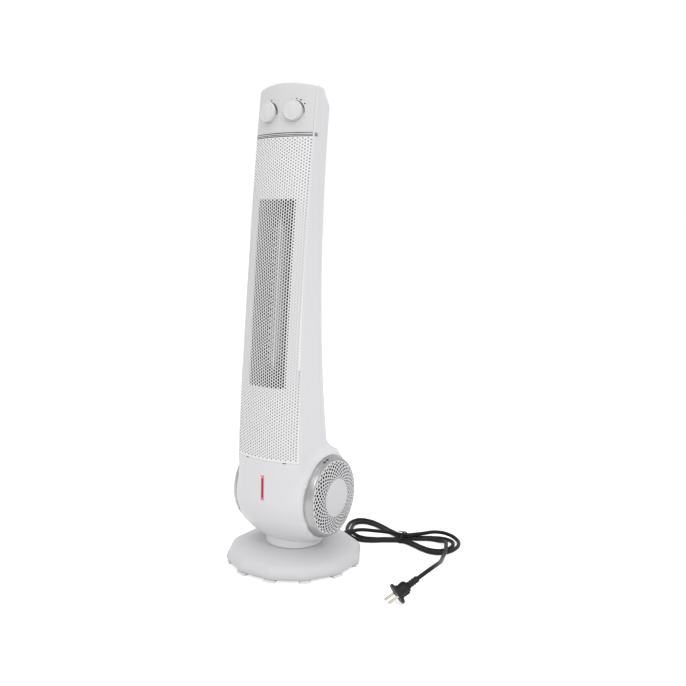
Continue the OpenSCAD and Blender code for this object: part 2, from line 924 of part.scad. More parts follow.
module knob(side) {
    color(white)
        at_knob(side)
            translate([0, 0, seat])
                difference() {
                    union() {
                        rotate_extrude($fn = 96)
                            polygon([
                                [0, 0], [knob_d / 2, 0], [knob_d / 2 - 0.5, knob_h - 5.2],
                                [knob_d / 2 - 1.3, knob_h - 4.2], [0, knob_h - 3.8]
                            ]);
                        // Grip bar across the face
                        translate([-2.6, -knob_d / 2 + 2.2, knob_h - 6])
                            cube([5.2, knob_d - 4.4, 6]);
                    }
                    difference() {
                        translate([0, 0, -over])
                            cylinder(h = 9.2 + over, d = control_shaft_d + 0.1, $fn = 32);
                        translate([control_shaft_d / 2 - 0.95, -5, 1.9])
                            cube([5, 10, 20]);
                    }
                }
}
module thermostat_knob() {
    knob(-1);
}
module switch_knob() {
    knob(1);
}

// Base
rim_flat = base_r - 3;
rim_foot = base_r - 3.3;
base_deck = neck_top - 8.9;
hub_bottom = neck_top - 13.5;
// Collar of the turntable: its lower edge, and its clearance round the neck
collar_z = base_deck + 1.1;
collar_run = 0.6;
module base_form(inset) {
    rotate_extrude($fn = 120)
        polygon([
            [0, foot_h - (inset > 0 ? over : 0)],
            [rim_foot - inset, foot_h - (inset > 0 ? over : 0)],
            [base_r - 0.9 - inset, foot_h + 2.5], [base_r - inset, foot_h + 6.5 - inset / 2],
            [base_r - 1.8 - inset, foot_h + 11 - inset / 2],
            [base_r - 6 - inset, foot_h + 15.5 - inset],
            [base_r - 10.5 - inset, foot_h + 19 - inset],
            [base_r - 18, foot_h + 21.4 - inset],
            [base_r - 34, base_deck - 3 - inset], [neck_r + 14, base_deck - 1.2 - inset],
            [neck_r + 1 - inset, base_deck - inset], [neck_r - inset, base_deck + 1 - inset],
            [neck_r - inset, base_deck + 4], [neck_r - inset, neck_top - 1.2 * inset],
            [0, neck_top - 1.2 * inset]
        ]);
}
// Base with the slight twelve-sided flattening of its rim
module base_solid(inset) {
    intersection() {
        base_form(inset);
        rotate([0, 0, 15])
            cylinder(h = neck_top + over, r = (rim_flat - inset) / cos(15), $fn = 12);
    }
}
stop_r = 30;
stop_pin_r = 2.5;
boss_ring = base_r - 14;
module at_base_bosses() {
    for (a = [30 : 60 : 330])
        rotate([0, 0, a])
            translate([boss_ring, 0, 0])
                children();
}
gland_angle = 75;
gland_z = foot_h + 8;
module at_gland() {
    rotate([0, 0, gland_angle])
        translate([base_r, 0, gland_z])
            rotate([0, 90, 0])
                children();
}
plate_z = foot_h + 2.5;
bush_wall = 3;
module base_shell() {
    color(pale)
        difference() {
            base_solid(0);
            difference() {
                base_solid(base_wall);
                translate([0, 0, hub_bottom])
                    cylinder(h = neck_top, r = spigot_r + bush_wall + 3);
                at_base_bosses()
                    translate([0, 0, plate_z + seat])
                        cylinder(h = base_deck, r = 4, $fn = 24);
            }
            cylinder(h = neck_top + over, r = spigot_r + bush_wall + run);
            // Arc slot that stops the swing
            for (a = [0 : 1])
                translate([0, 0, neck_top - 6])
                    rotate([0, 0, 90 - swing_angle - 6])
                        rotate_extrude(angle = 2 * swing_angle + 12, $fn = 96)
                            translate([stop_r - stop_pin_r - 0.5, 0])
                                square([2 * stop_pin_r + 1, 10]);
            at_base_bosses()
                translate([0, 0, plate_z])
                    cylinder(h = 9, r = 1.5, $fn = 24);
            // Hole for the cord's gland
            at_gland()
                translate([0, 0, -12])
                    cylinder(h = 24, r = 5.6, $fn = 32);
        }
}

tip_place = [0, 39.3 - base_r];
motor_place = [36, 0];
module base_plate() {
    color(pale)
        difference() {
            union() {
                translate([0, 0, foot_h])
                    cylinder(h = plate_z - foot_h, r = rim_foot - base_wall - seat - 0.2, $fn = 120);
                // Cradle of the tip-over switch
                for (side = [-1, 1])
                    translate([tip_place[0] + side * 12.6 - 1.5, tip_place[1] - 6, plate_z - 0.5])
                        cube([3, 12, 16]);
                // Collar that locates the swing motor
                translate([motor_place[0], motor_place[1], plate_z - 0.5])
                    difference() {
                        cylinder(h = 4.5, r = swing_motor_r + 2.3);
                        translate([0, 0, -over])
                            cylinder(h = 8, r = swing_motor_r + seat);
                    }
            }
            translate([tip_place[0], tip_place[1], 0])
                cylinder(h = 20, r = plunger_r + seat, $fn = 32);
            at_base_bosses()
                cylinder(h = 20, r = 1.8, $fn = 24);
            at_base_bosses()
                cylinder(h = foot_h + 1, r = head_r + seat, $fn = 24);
        }
}

module base_screws() {
    color(grey)
        at_base_bosses()
            translate([0, 0, foot_h + 1 - 0.05])
                rotate([180, 0, 0])
                    screw(8, 1.4);
}

module foot_pads() {
    color(pale)
        for (a = [15 : 30 : 345])
            rotate([0, 0, a])
                translate([base_r - 17, -9, 0])
                    cube([14, 18, foot_h - 0.05]);
}

module swivel_bush() {
    color([0.9, 0.9, 0.86])
        difference() {
            union() {
                translate([0, 0, hub_bottom])
                    cylinder(h = neck_top - hub_bottom, r = spigot_r + bush_wall);
                translate([0, 0, neck_top + 0.05])
                    cylinder(h = 0.6, r = spigot_r + bush_wall + 4);
            }
            translate([0, 0, hub_bottom - over])
                cylinder(h = neck_top, r = spigot_r + run);
        }
}

module swivel_washer() {
    color([0.9, 0.9, 0.86])
        translate([0, 0, neck_top + 0.05])
            difference() {
                cylinder(h = 0.6, r = neck_r - 1.5);
                translate([0, 0, -over])
                    cylinder(h = 3, r = stop_r + stop_pin_r + 3);
            }
}

// Swing drive: a toothed wheel on the spigot and a pinion on the motor
gear_teeth = 60;
pinion_teeth = 12;
pinion_bore = 1.5;
gear_z0 = foot_h + 17.5;
gear_h = 4.5;
tooth_module = 2 * motor_place[0] / (gear_teeth + pinion_teeth);
function tooth_outline(teeth, phase) =
    let (r = teeth * tooth_module / 2,
         tip = r + 0.75 * tooth_module,
         root = r - 1.1 * tooth_module,
         step = 360 / teeth)
    [for (i = [0 : teeth - 1])
        for (c = [[-0.31, root], [-0.11, tip], [0.11, tip], [0.31, root]])
            c[1] * [cos((i + c[0] + phase) * step), sin((i + c[0] + phase) * step)]];
module swing_gear() {
    color([0.9, 0.9, 0.86])
        translate([0, 0, gear_z0])
            difference() {
                union() {
                    linear_extrude(height = gear_h)
                        polygon(tooth_outline(gear_teeth, 0));
                    cylinder(h = hub_bottom - gear_z0 - seat, r = spigot_r + 4);
                }
                translate([0, 0, -over])
                    cylinder(h = 20, r = spigot_r + run);
            }
}
module swing_pinion() {
    color([0.9, 0.9, 0.86])
        translate([motor_place[0], motor_place[1], gear_z0])
            difference() {
                linear_extrude(height = gear_h)
                    polygon(tooth_outline(pinion_teeth, 0.5));
                translate([0, 0, -over])
                    cylinder(h = 8, r = pinion_bore + run, $fn = 32);
            }
}
swing_motor_r = 25;
swing_motor_top = gear_z0 - 2.8;
module swing_motor() {
    color(silver)
        translate([motor_place[0], motor_place[1], 0]) {
            translate([0, 0, plate_z + 0.2])
                cylinder(h = swing_motor_top - plate_z - 0.2, r = swing_motor_r);
            translate([0, 0, swing_motor_top])
                cylinder(h = 1.6, r = 3.2, $fn = 32);
            translate([0, 0, swing_motor_top])
                cylinder(h = gear_z0 + gear_h - swing_motor_top, r = pinion_bore, $fn = 32);
        }
}

module turntable() {
    color(pale)
        difference() {
            union() {
                translate([0, 0, column_z])
                    cylinder(h = turntable_t, r = turntable_r, $fn = 96);
                // Collar that hangs over the base's neck
                difference() {
                    translate([0, 0, collar_z])
                        cylinder(h = column_z + over - collar_z, r = turntable_r, $fn = 96);
                    cylinder(h = column_z + 2 * over, r = neck_r + collar_run, $fn = 96);
                }
                translate([0, 0, gear_z0 - 0.2])
                    cylinder(h = column_z + 1 - gear_z0, r = spigot_r);
                // Pin that runs in the base's arc slot
                translate([0, stop_r, neck_top - 4])
                    cylinder(h = 6, r = stop_pin_r, $fn = 32);
            }
            translate([0, 0, 0])
                cylinder(h = 60, r = spigot_r - 4);
            at_turntable_screws()
                cylinder(h = 60, r = 1.8, $fn = 24);
            at_turntable_screws()
                cylinder(h = column_z + 2.6, r = head_r + seat, $fn = 24);
        }
}

module retainer_ring() {
    color(grey)
        translate([0, 0, gear_z0 - 2.4])
            difference() {
                cylinder(h = 2.1, r = spigot_r + 5);
                translate([0, 0, -over])
                    cylinder(h = 5, r = spigot_r - 4);
            }
}

module terminal_block() {
    color([0.92, 0.92, 0.88])
        translate([-66, 22, plate_z + 0.2])
            difference() {
                cube([14, 32, 11]);
                for (y = [6, 16, 26])
                    translate([7, y, 5])
                        cylinder(h = 10, r = 2.4, $fn = 24);
                for (y = [6, 16, 26])
                    translate([-over, y, 4])
                        rotate([0, 90, 0])
                            cylinder(h = 20, r = 1.6, $fn = 24);
            }
}

plunger_r = 4.5;
plunger_travel = 3;
module tip_plunger() {
    color(white)
        translate([tip_place[0], tip_place[1], 0]) {
            cylinder(h = plate_z + 6, r = plunger_r, $fn = 32);
            translate([0, 0, plate_z + plunger_travel + 0.6])
                cylinder(h = 2, r = plunger_r + 2.5, $fn = 32);
        }
}
module tip_switch() {
    color([0.15, 0.15, 0.16])
        translate([tip_place[0] - 10.8, tip_place[1] - 5, plate_z + 6.4])
            cube([21.6, 10, 10]);
}

// Moulded strain relief where the cord leaves the base
gland_out = 20;
module cord_gland() {
    color(black)
        at_gland()
            difference() {
                union() {
                    intersection() {
                        translate([0, 0, -13])
                            cylinder(h = 2, r = 6.2, $fn = 32);
                        translate([gland_z - plate_z - seat - 30, -10, -20])
                            cube([30, 20, 20]);
                    }
                    translate([0, 0, -11.5])
                        cylinder(h = 12.5, r = 5.4, $fn = 32);
                    cylinder(h = gland_out, r1 = 5.4, r2 = 4.3, $fn = 32);
                    for (z = [3 : 4 : 15])
                        translate([0, 0, z])
                            cylinder(h = 2, r = 5.7 - 0.05 * z, $fn = 32);
                }
                translate([0, 0, -20])
                    cylinder(h = 60, r = lead_d / 2 + run, $fn = 32);
            }
}

// Lead: a tube swept along points, with flat ends square to the first and last stretch
function unit(v) = v / norm(v);
function tangent(p, i) = unit(p[min(i + 1, len(p) - 1)] - p[max(i - 1, 0)]);
function sideways(t) = unit(cross([0, 0, 1], t));
module tube(points, r, sides) {
    n = len(points);
    rings = [for (i = [0 : n - 1])
        let (t = tangent(points, i), a = sideways(t), b = cross(t, a))
        for (k = [0 : sides - 1])
            points[i] + r * (cos(360 * (k + 0.5) / sides) * a + sin(360 * (k + 0.5) / sides) * b)];
    walls = [for (i = [0 : n - 2]) for (k = [0 : sides - 1])
        let (a = i * sides + k, b = i * sides + (k + 1) % sides)
        each [[a, a + sides, b], [b, a + sides, b + sides]]];
    start = [[for (k = [0 : sides - 1]) k]];
    finish = [[for (k = [sides - 1 : -1 : 0]) (n - 1) * sides + k]];
    polyhedron(points = rings, faces = concat(walls, start, finish));
}

// Tied hank on the floor behind the base: two and a half turns that lie flat
lane = 8.5;
tie_place = [117, 168];
hank_turn = 5;
function ease(t) = let (s = min(max(t, 0), 1)) s * s * (3 - 2 * s);
function to_floor(q) = [
    tie_place[0] + q[0] * cos(hank_turn) - q[1] * sin(hank_turn),
    tie_place[1] + q[0] * sin(hank_turn) + q[1] * cos(hank_turn),
    q[2]
];
upper_z = 10.9;
function hank_loop(a) =
    let (ring = 2 - ease((a - 135) / 90) - ease((a - 495) / 90),
         c = cos(a),
         s = sin(a),
         reach = c < 0 ? 83 + 8.8 * ring : 105 + 9 * ring,
         bulge = c < 0 ? 60 + 14 * ring : 90 + 20 * ring,
         spread = lane * (0.5 + ring) * (a < 120 ? ease((a - 90) / 30) : 1),
         lift = 12 * pow(max(c, 0), 2),
         y = s * (spread + bulge * (sqrt(c * c + 0.06) - 0.245)) + lift,
         z = lead_d / 2 + (a < 180 ? (upper_z - lead_d / 2) * (1 - ease((a - 118) / 40)) : 0))
    [-reach * c - 0.15 * (1 + c) * y, y, z];
hank_start = [[-26, -1, upper_z], [-17, -0.5, upper_z]];
hank_finish = [
    [60, 19.5, 4.2], [71.5, 13, 7.2], [79, 2, 10.2], [83.5, -10, 10.9], [88, -22, 10.9],
    [92, -34, 10.9], [95, -46, 11], [97.5, -58, 11.6]
];
hank_points = [for (q = concat(hank_start, [for (a = [90 : 15 : 840]) hank_loop(a)], hank_finish))
    to_floor(q)];
lead_start = [
    (base_r + gland_out) * cos(gland_angle), (base_r + gland_out) * sin(gland_angle), gland_z
];
lead_points = concat(
    [lead_start - 10 * [cos(gland_angle), sin(gland_angle), 0], lead_start],
    [[37, 137, 12.4], [41.5, 144, 12], [48.5, 149.5, 11.6], [57, 153.5, 11.2], [67, 157.5, 11],
     [79, 161.6, 10.9]],
    [hank_points[0]]
);
// The tail rises in one smooth bow, and the plug stands at its end with its nose on the floor
plug_start = [250.6, -32.8, 34.4];
plug_axis = unit([-50.9, -70.3, -49.5]);
plug_roll = 11;
leave_pull = 140;
arrive_pull = 160;
function bow(t) =
    let (n = len(hank_points), leave = unit(hank_points[n - 1] - hank_points[n - 2]))
    (2 * t * t * t - 3 * t * t + 1) * hank_points[n - 1]
    + (t * t * t - 2 * t * t + t) * leave_pull * leave
    + (3 * t * t - 2 * t * t * t) * plug_start
    + (t * t * t - t * t) * arrive_pull * plug_axis;
bow_steps = 16;
tail_points = [for (k = [0 : bow_steps]) bow(k / bow_steps)];

// Least gap between stretches of the hank that lie apart along it, measured on its points
function between(p, k, share) = p[k] + (p[k + 1] - p[k]) * share;
hank_gap = min([for (i = [0 : len(hank_points) - 6]) for (j = [i + 4 : len(hank_points) - 2])
    for (s = [0, 0.25, 0.5, 0.75]) for (t = [0, 0.25, 0.5, 0.75])
        norm(between(hank_points, i, s) - between(hank_points, j, t))]) - lead_d;
function route_length(p) = len(p) < 2 ? 0 :
    [for (i = 0, s = 0; i < len(p); i = i + 1, s = s + (i < len(p) ? norm(p[i] - p[i - 1]) : 0)) s]
    [len(p) - 1];
echo(knob_y = face_y(knob_x, knob_z), knob_z = knob_z, face_slope = face_slope);
echo(hank_gap = hank_gap, lead = route_length(lead_points), hank = route_length(hank_points),
    tail = route_length(tail_points));

module cord_lead() {
    color(black)
        tube(lead_points, lead_d / 2, 8);
}
module cord_hank() {
    color(black)
        tube(hank_points, lead_d / 2, 6);
}
module cord_tail() {
    color(black)
        tube(tail_points, lead_d / 2, 8);
}

// Twisted wire tie round the waist of the hank
tie_w = 1.5 * lane + lead_d / 2 + 2.4;
module cord_tie() {
    color(black)
        translate([tie_place[0], tie_place[1], 0])
            rotate([90, 0, 90 + hank_turn])
                translate([0, 0, -2]) {
                    linear_extrude(height = 4)
                        difference() {
                            polygon([
                                [tie_w - 3, 0.1], [tie_w, 1.5], [tie_w, 7.5], [6, 16], [-6, 16],
                                [-tie_w, 7.5], [-tie_w, 1.5], [-tie_w + 3, 0.1]
                            ]);
                            polygon([
                                [tie_w - 3.4, -1], [tie_w - 1.2, 2], [tie_w - 1.2, 7],
                                [5.4, 14.8], [-5.4, 14.8], [-tie_w + 1.2, 7],
                                [-tie_w + 1.2, 2], [-tie_w + 3.4, -1]
                            ]);
                        }
                    // Twisted ends of the wire
                    translate([-1.5, 15.2, -10])
                        cube([3, 1.6, 12]);
                }
}

// Plug with two round pins, a round flange and a ribbed relief
relief_len = 20;
plug_len = 15.7;
flange_t = 4.5;
pin_d = 4;
pin_len = 18;
pin_gap = 19;
module at_plug() {
    translate(plug_start)
        rotate([0, 0, atan2(plug_axis[1], plug_axis[0])])
            rotate([0, 90 - asin(plug_axis[2]), 0])
                rotate([0, 0, plug_roll])
                    children();
}
module plug_body() {
    color(black)
        at_plug()
            difference() {
                union() {
                    cylinder(h = relief_len, r1 = 4.5, r2 = 5.3, $fn = 32);
                    for (z = [2 : 4.5 : 15.5])
                        translate([0, 0, z])
                            cylinder(h = 2.5, r = 5.1 + z / 30, $fn = 32);
                    translate([0, 0, relief_len - 1])
                        cylinder(h = 2, r = 8.6, $fn = 48);
                    translate([0, 0, relief_len - 1])
                        cylinder(h = plug_len + 2, r1 = 7.2, r2 = 9, $fn = 48);
                    translate([0, 0, relief_len + plug_len])
                        cylinder(h = flange_t, d = plug_flange_d, $fn = 64);
                }
                translate([0, 0, -1])
                    cylinder(h = 16, r = lead_d / 2 + run, $fn = 32);
            }
}
module plug_pins() {
    color(brass)
        at_plug()
            for (side = [-1, 1])
                translate([0, side * pin_gap / 2, relief_len + plug_len + flange_t + 0.02]) {
                    cylinder(h = pin_len - 1, d = pin_d, $fn = 32);
                    translate([0, 0, pin_len - 1])
                        cylinder(h = 1, d1 = pin_d, d2 = pin_d - 1.6, $fn = 32);
                }
}

base_shell();
base_plate();
foot_pads();
base_screws();
swivel_bush();
swivel_washer();
swing_motor();
swing_pinion();
terminal_block();
tip_switch();
tip_plunger();
cord_gland();
turntable();
swing_gear();
retainer_ring();
turntable_screws();
front_shell();
rear_shell();
shell_screws();
control_panel();
trim_strip();
front_grille();
indicator_lens();
indicator_board();
side_ring_left();
side_ring_right();
filter_left();
filter_right();
side_cover_left();
side_cover_right();
scroll_left();
scroll_right();
fan_motor();
fan_shaft();
impeller_left();
impeller_right();
air_duct();
heater_frame();
heater_fins();
ceramic_strips();
thermal_cutout();
thermostat();
rotary_switch();
thermostat_shaft();
switch_shaft();
thermostat_knob();
switch_knob();
cord_lead();
cord_hank();
cord_tie();
cord_tail();
plug_body();
plug_pins();
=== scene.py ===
"""Looks of a tower fan heater: drum foot, leaning tower, round swivel base, tied mains lead."""

import logging
import math
from dataclasses import dataclass, field
from enum import Enum
from typing import Iterable, Sequence

import bmesh
import bpy
import numpy as np
from mathutils import Matrix, Vector


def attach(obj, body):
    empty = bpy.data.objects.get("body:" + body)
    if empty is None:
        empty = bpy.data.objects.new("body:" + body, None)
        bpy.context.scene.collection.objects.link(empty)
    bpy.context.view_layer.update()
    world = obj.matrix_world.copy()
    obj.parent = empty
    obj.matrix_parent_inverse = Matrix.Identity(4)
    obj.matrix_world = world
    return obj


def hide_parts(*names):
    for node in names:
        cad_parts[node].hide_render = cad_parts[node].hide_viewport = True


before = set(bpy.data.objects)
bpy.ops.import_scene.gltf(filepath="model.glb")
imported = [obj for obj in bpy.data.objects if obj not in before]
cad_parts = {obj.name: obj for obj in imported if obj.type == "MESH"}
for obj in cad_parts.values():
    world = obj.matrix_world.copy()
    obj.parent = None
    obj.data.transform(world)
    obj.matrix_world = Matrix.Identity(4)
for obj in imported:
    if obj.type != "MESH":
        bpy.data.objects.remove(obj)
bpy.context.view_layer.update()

LOG = logging.getLogger("tower_heater")
MM = 0.001
TINY = 1e-9
QUARTER = math.pi / 2
EDGE_STEPS = 3
EDGE_ANGLE = math.radians(34)
MIX_A, MIX_B, MIX_RESULT = 6, 7, 2
Triple = tuple[float, float, float]
Point = Triple
Colour = Triple
Profile = Sequence[tuple[float, float]]


class Side(Enum):
    """The two ends of the drum, seen from the front."""

    LEFT = -1
    RIGHT = 1

    @property
    def word(self) -> str:
        """Name of the side as the CAD nodes spell it."""
        return self.name.lower()


class Body(Enum):
    """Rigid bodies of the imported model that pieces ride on."""

    BASE = "base"
    COLUMN = "column"
    COVER_LEFT = "cover_left"
    COVER_RIGHT = "cover_right"
    THERMOSTAT = "thermostat_dial"
    SWITCH = "switch_dial"


# Shader workbench


@dataclass(frozen=True)
class Wire:
    """One value in a node tree, with the arithmetic that the finishes need."""

    bench: "Bench"
    socket: bpy.types.NodeSocket

    def _with(self, operation: str, first: "Wire | float", second: "Wire | float") -> "Wire":
        """Adds one Math node.

        Args:
            operation: Operation of the node.
            first: Left operand.
            second: Right operand.

        Returns:
            The node's result.
        """
        return self.bench.add("ShaderNodeMath", {"operation": operation}, {0: first, 1: second})

    def __add__(self, other: "Wire | float") -> "Wire":
        """Sum."""
        return self._with("ADD", self, other)

    def __radd__(self, other: float) -> "Wire":
        """Sum with a number on the left."""
        return self._with("ADD", other, self)

    def __sub__(self, other: "Wire | float") -> "Wire":
        """Difference."""
        return self._with("SUBTRACT", self, other)

    def __rsub__(self, other: float) -> "Wire":
        """Difference from a number."""
        return self._with("SUBTRACT", other, self)

    def __mul__(self, other: "Wire | float") -> "Wire":
        """Product."""
        return self._with("MULTIPLY", self, other)

    def __rmul__(self, other: float) -> "Wire":
        """Product with a number on the left."""
        return self._with("MULTIPLY", other, self)


class Bench:
    """Node tree of a material or a sky, cleared and ready to take nodes."""

    def __init__(self, owner: bpy.types.Material | bpy.types.World) -> None:
        """Clears the owner's nodes.

        Args:
            owner: Material or sky that the nodes belong to.
        """
        self.owner = owner
        owner.use_nodes = True
        self.tree = owner.node_tree
        self.tree.nodes.clear()

    def add(
        self,
        kind: str,
        settings: dict[str, object] | None = None,
        sockets: dict[str | int, object] | None = None,
        output: str | int = 0,
    ) -> Wire:
        """Adds a node.

        Args:
            kind: Blender's name of the node type.
            settings: Properties that are set before the sockets.
            sockets: Values or wires of the inputs.
            output: Output that is handed back.

        Returns:
            The chosen output.
        """
        node = self.tree.nodes.new(kind)
        for key, value in (settings or {}).items():
            setattr(node, key, value)
        for key, value in (sockets or {}).items():
            if isinstance(value, Wire):
                self.tree.links.new(value.socket, node.inputs[key])
            else:
                node.inputs[key].default_value = value
        return Wire(self, node.outputs[output] if len(node.outputs) else node.inputs[0])

    def place(self) -> Wire:
        """Position on the object, in metres."""
        return self.add("ShaderNodeTexCoord", output="Object")

    def noise(self, noise: "Noise") -> Wire:
        """Noise over the object.

        Args:
            noise: Its scale, detail and stretch.

        Returns:
            The noise, around 0.5.
        """
        place = {"Vector": self.place(), "Scale": noise.stretch}
        mapped = self.add("ShaderNodeMapping", {}, place)
        return self.add("ShaderNodeTexNoise", {}, {
            "Vector": mapped, "Scale": noise.scale, "Detail": noise.detail})

    def tint(self, amount: Wire, low: Colour, high: Colour) -> Wire:
        """Mixes two colours.

        Args:
            amount: Share of the second colour.
            low: First colour.
            high: Second colour.

        Returns:
            The mixed colour.
        """
        colours = {0: amount, MIX_A: (*low, 1.0), MIX_B: (*high, 1.0)}
        return self.add("ShaderNodeMix", {"data_type": "RGBA"}, colours, MIX_RESULT)

    def vary(self, amount: Wire, colour: Colour, low: float, high: float) -> Wire:
        """Mixes a darker and a lighter tone of one colour.

        Args:
            amount: Share of the lighter tone.
            colour: Linear colour.
            low: Brightness factor of the darker tone.
            high: Brightness factor of the lighter tone.

        Returns:
            The mixed colour.
        """
        return self.tint(amount, shade(colour, low), shade(colour, high))

    def bump(self, height: Wire, strength: float, distance: float) -> Wire:
        """Bump from a height.

        Args:
            height: Height, 0 to 1.
            strength: Strength of the bump.
            distance: Depth in metres.

        Returns:
            The bent normal.
        """
        return self.add(
            "ShaderNodeBump", {}, {"Height": height, "Strength": strength, "Distance": distance}
        )

    def finish(self, surface: Wire) -> bpy.types.Material:
        """Closes the material.

        Args:
            surface: Shader of the surface.

        Returns:
            The material.
        """
        self.add("ShaderNodeOutputMaterial", {}, {"Surface": surface})
        return self.owner

    def principled(self, sockets: dict[str, object]) -> bpy.types.Material:
        """Closes the material with a Principled shader.

        Args:
            sockets: Values or wires of the shader's inputs.

        Returns:
            The material.
        """
        return self.finish(self.add("ShaderNodeBsdfPrincipled", {}, sockets))


def shade(colour: Colour, factor: float) -> Colour:
    """A colour made lighter or darker.

    Args:
        colour: Linear colour.
        factor: Brightness factor.

    Returns:
        The new colour.
    """
    return tuple(min(1.0, channel * factor) for channel in colour)


# Finishes


@dataclass(frozen=True)
class Noise:
    """One noise over the object: waves per metre, octaves, stretch along each axis."""

    scale: float
    detail: float = 2.0
    stretch: Point = (1.0, 1.0, 1.0)


@dataclass(frozen=True)
class Finish:
    """Base of all finishes."""

    name: str
    colour: Colour

    def build(self) -> bpy.types.Material:
        """Makes the material, or gives the one already made."""
        return bpy.data.materials.get(self.name) or self.surface(
            Bench(bpy.data.materials.new(self.name)))

    def surface(self, bench: Bench) -> bpy.types.Material:
        """Adds the nodes of the finish.

        Args:
            bench: Empty node tree.

        Returns:
            The material.
        """
        raise NotImplementedError


@dataclass(frozen=True)
class MouldedPlastic(Finish):
    """Moulded plastic: faint flow marks, a soft sheen and a fine eroded grain.

    Other grained finishes give other noises to the colour, the roughness and the relief.
    """

    roughness: float = 0.4
    grain: float = 0.25
    tones: tuple[float, float] = (0.988, 1.012)
    metallic: float = 0.0
    tone: Noise = Noise(9.0, 3.0)
    sheen: Noise = Noise(60.0)
    spread: float = 0.08
    relief: Noise = Noise(1500.0)
    depth: float = 0.00006
    sockets: tuple[tuple[str, float], ...] = (("IOR", 1.48),)

    def surface(self, bench: Bench) -> bpy.types.Material:
        """Adds one noise to the colour, one to the roughness and one to the relief.

        Args:
            bench: Empty node tree.

        Returns:
            The material.
        """
        return bench.principled({
            "Base Color": bench.vary(bench.noise(self.tone), self.colour, *self.tones),
            "Roughness": self.roughness + self.spread * (bench.noise(self.sheen) - 0.5),
            "Metallic": self.metallic,
            "Normal": bench.bump(bench.noise(self.relief), self.grain, self.depth),
            **dict(self.sockets),
        })


@dataclass(frozen=True)
class SilverLacquer(MouldedPlastic):
    """Silver paint on plastic, with flake and faint turning marks."""

    grain: float = 0.12
    tones: tuple[float, float] = (0.9, 1.1)
    tone: Noise = Noise(3200.0, 1.0)
    sheen: Noise = Noise(260.0, 2.0, (0.1, 1.0, 1.0))
    spread: float = 0.1
    relief: Noise = Noise(3200.0, 1.0)
    depth: float = 0.00003
    sockets: tuple[tuple[str, float], ...] = (("Coat Weight", 0.25), ("Coat Roughness", 0.12))


@dataclass(frozen=True)
class RubberSheath(MouldedPlastic):
    """Black flexible sheath with a fine drawn grain and handling dust."""

    roughness: float = 0.42
    grain: float = 0.3
    tones: tuple[float, float] = (0.7, 1.5)
    tone: Noise = Noise(130.0, 4.0)
    sheen: Noise = Noise(130.0, 4.0)
    spread: float = 0.16
    relief: Noise = Noise(2400.0)
    depth: float = 0.00008
    sockets: tuple[tuple[str, float], ...] = (("Specular IOR Level", 0.2),)


@dataclass(frozen=True)
class PlainMetal(MouldedPlastic):
    """Rolled or plated metal with drawn streaks."""

    grain: float = 0.15
    tones: tuple[float, float] = (0.85, 1.12)
    metallic: float = 1.0
    tone: Noise = Noise(700.0, 3.0, (1.0, 1.0, 0.1))
    sheen: Noise = Noise(700.0, 3.0, (1.0, 1.0, 0.1))
    spread: float = 0.14
    relief: Noise = Noise(700.0, 3.0, (1.0, 1.0, 0.1))
    depth: float = 0.00004
    sockets: tuple[tuple[str, float], ...] = ()


@dataclass(frozen=True)
class ShadeAndHighlightPart(Finish):
    """Part of the heating block: painted shade, dark at the edges, and a painted highlight along
    the middle.

    The painted highlight is given in shares of the part's own box.
    """

    bright: Colour
    metal: float
    roughness: float = 0.45
    middle: tuple[float, float] = (0.42, 0.5)
    across: tuple[float, float] = (0.14, 0.3)
    along: tuple[float, float] = (0.36, 0.42)
    rounding: float = 0.9

    @staticmethod
    def _fade(bench: Bench, value: Wire, limits: tuple[float, float]) -> Wire:
        """Falls smoothly from 1 to 0 between two limits.

        Args:
            bench: Node tree.
            value: Value that is looked at.
            limits: Where the fall starts and ends.

        Returns:
            The share.
        """
        return bench.add("ShaderNodeMapRange", {"interpolation_type": "SMOOTHSTEP"}, {
            "Value": value, "From Min": limits[0], "From Max": limits[1], "To Min": 1.0,
            "To Max": 0.0})

    def surface(self, bench: Bench) -> bpy.types.Material:
        """Mixes the painted shade and the painted highlight by the distance from the middle of the
        block.

        Args:
            bench: Empty node tree.

        Returns:
            The material.
        """
        place = bench.add("ShaderNodeTexCoord", output="Generated")
        x, z = (bench.add("ShaderNodeMath", {"operation": "ABSOLUTE"}, {
            0: bench.add("ShaderNodeSeparateXYZ", {}, {"Vector": place}, axis) - middle})
            for axis, middle in zip("XZ", self.middle))
        amount = self._fade(bench, x, self.across) * self._fade(
            bench, z + x * x * self.rounding, self.along)
        return bench.principled({
            "Base Color": bench.tint(amount, self.colour, self.bright),
            "Roughness": self.roughness,
            "Metallic": self.metal * (1 - amount),
        })


@dataclass(frozen=True)
class OpenFoam(Finish):
    """Dark open foam of the intake filters."""

    roughness: float = 0.95
    dark: float = 0.4
    light: float = 1.6
    cell_scale: float = 900.0
    cell: float = 0.8
    cell_depth: float = 0.0004

    def surface(self, bench: Bench) -> bpy.types.Material:
        """Adds cells to colour and relief.

        Args:
            bench: Empty node tree.

        Returns:
            The material.
        """
        cells = bench.add("ShaderNodeTexVoronoi", {}, {
            "Vector": bench.place(), "Scale": self.cell_scale})
        return bench.principled({
            "Base Color": bench.vary(cells, self.colour, self.dark, self.light),
            "Roughness": self.roughness,
            "Normal": bench.bump(cells, self.cell, self.cell_depth),
        })


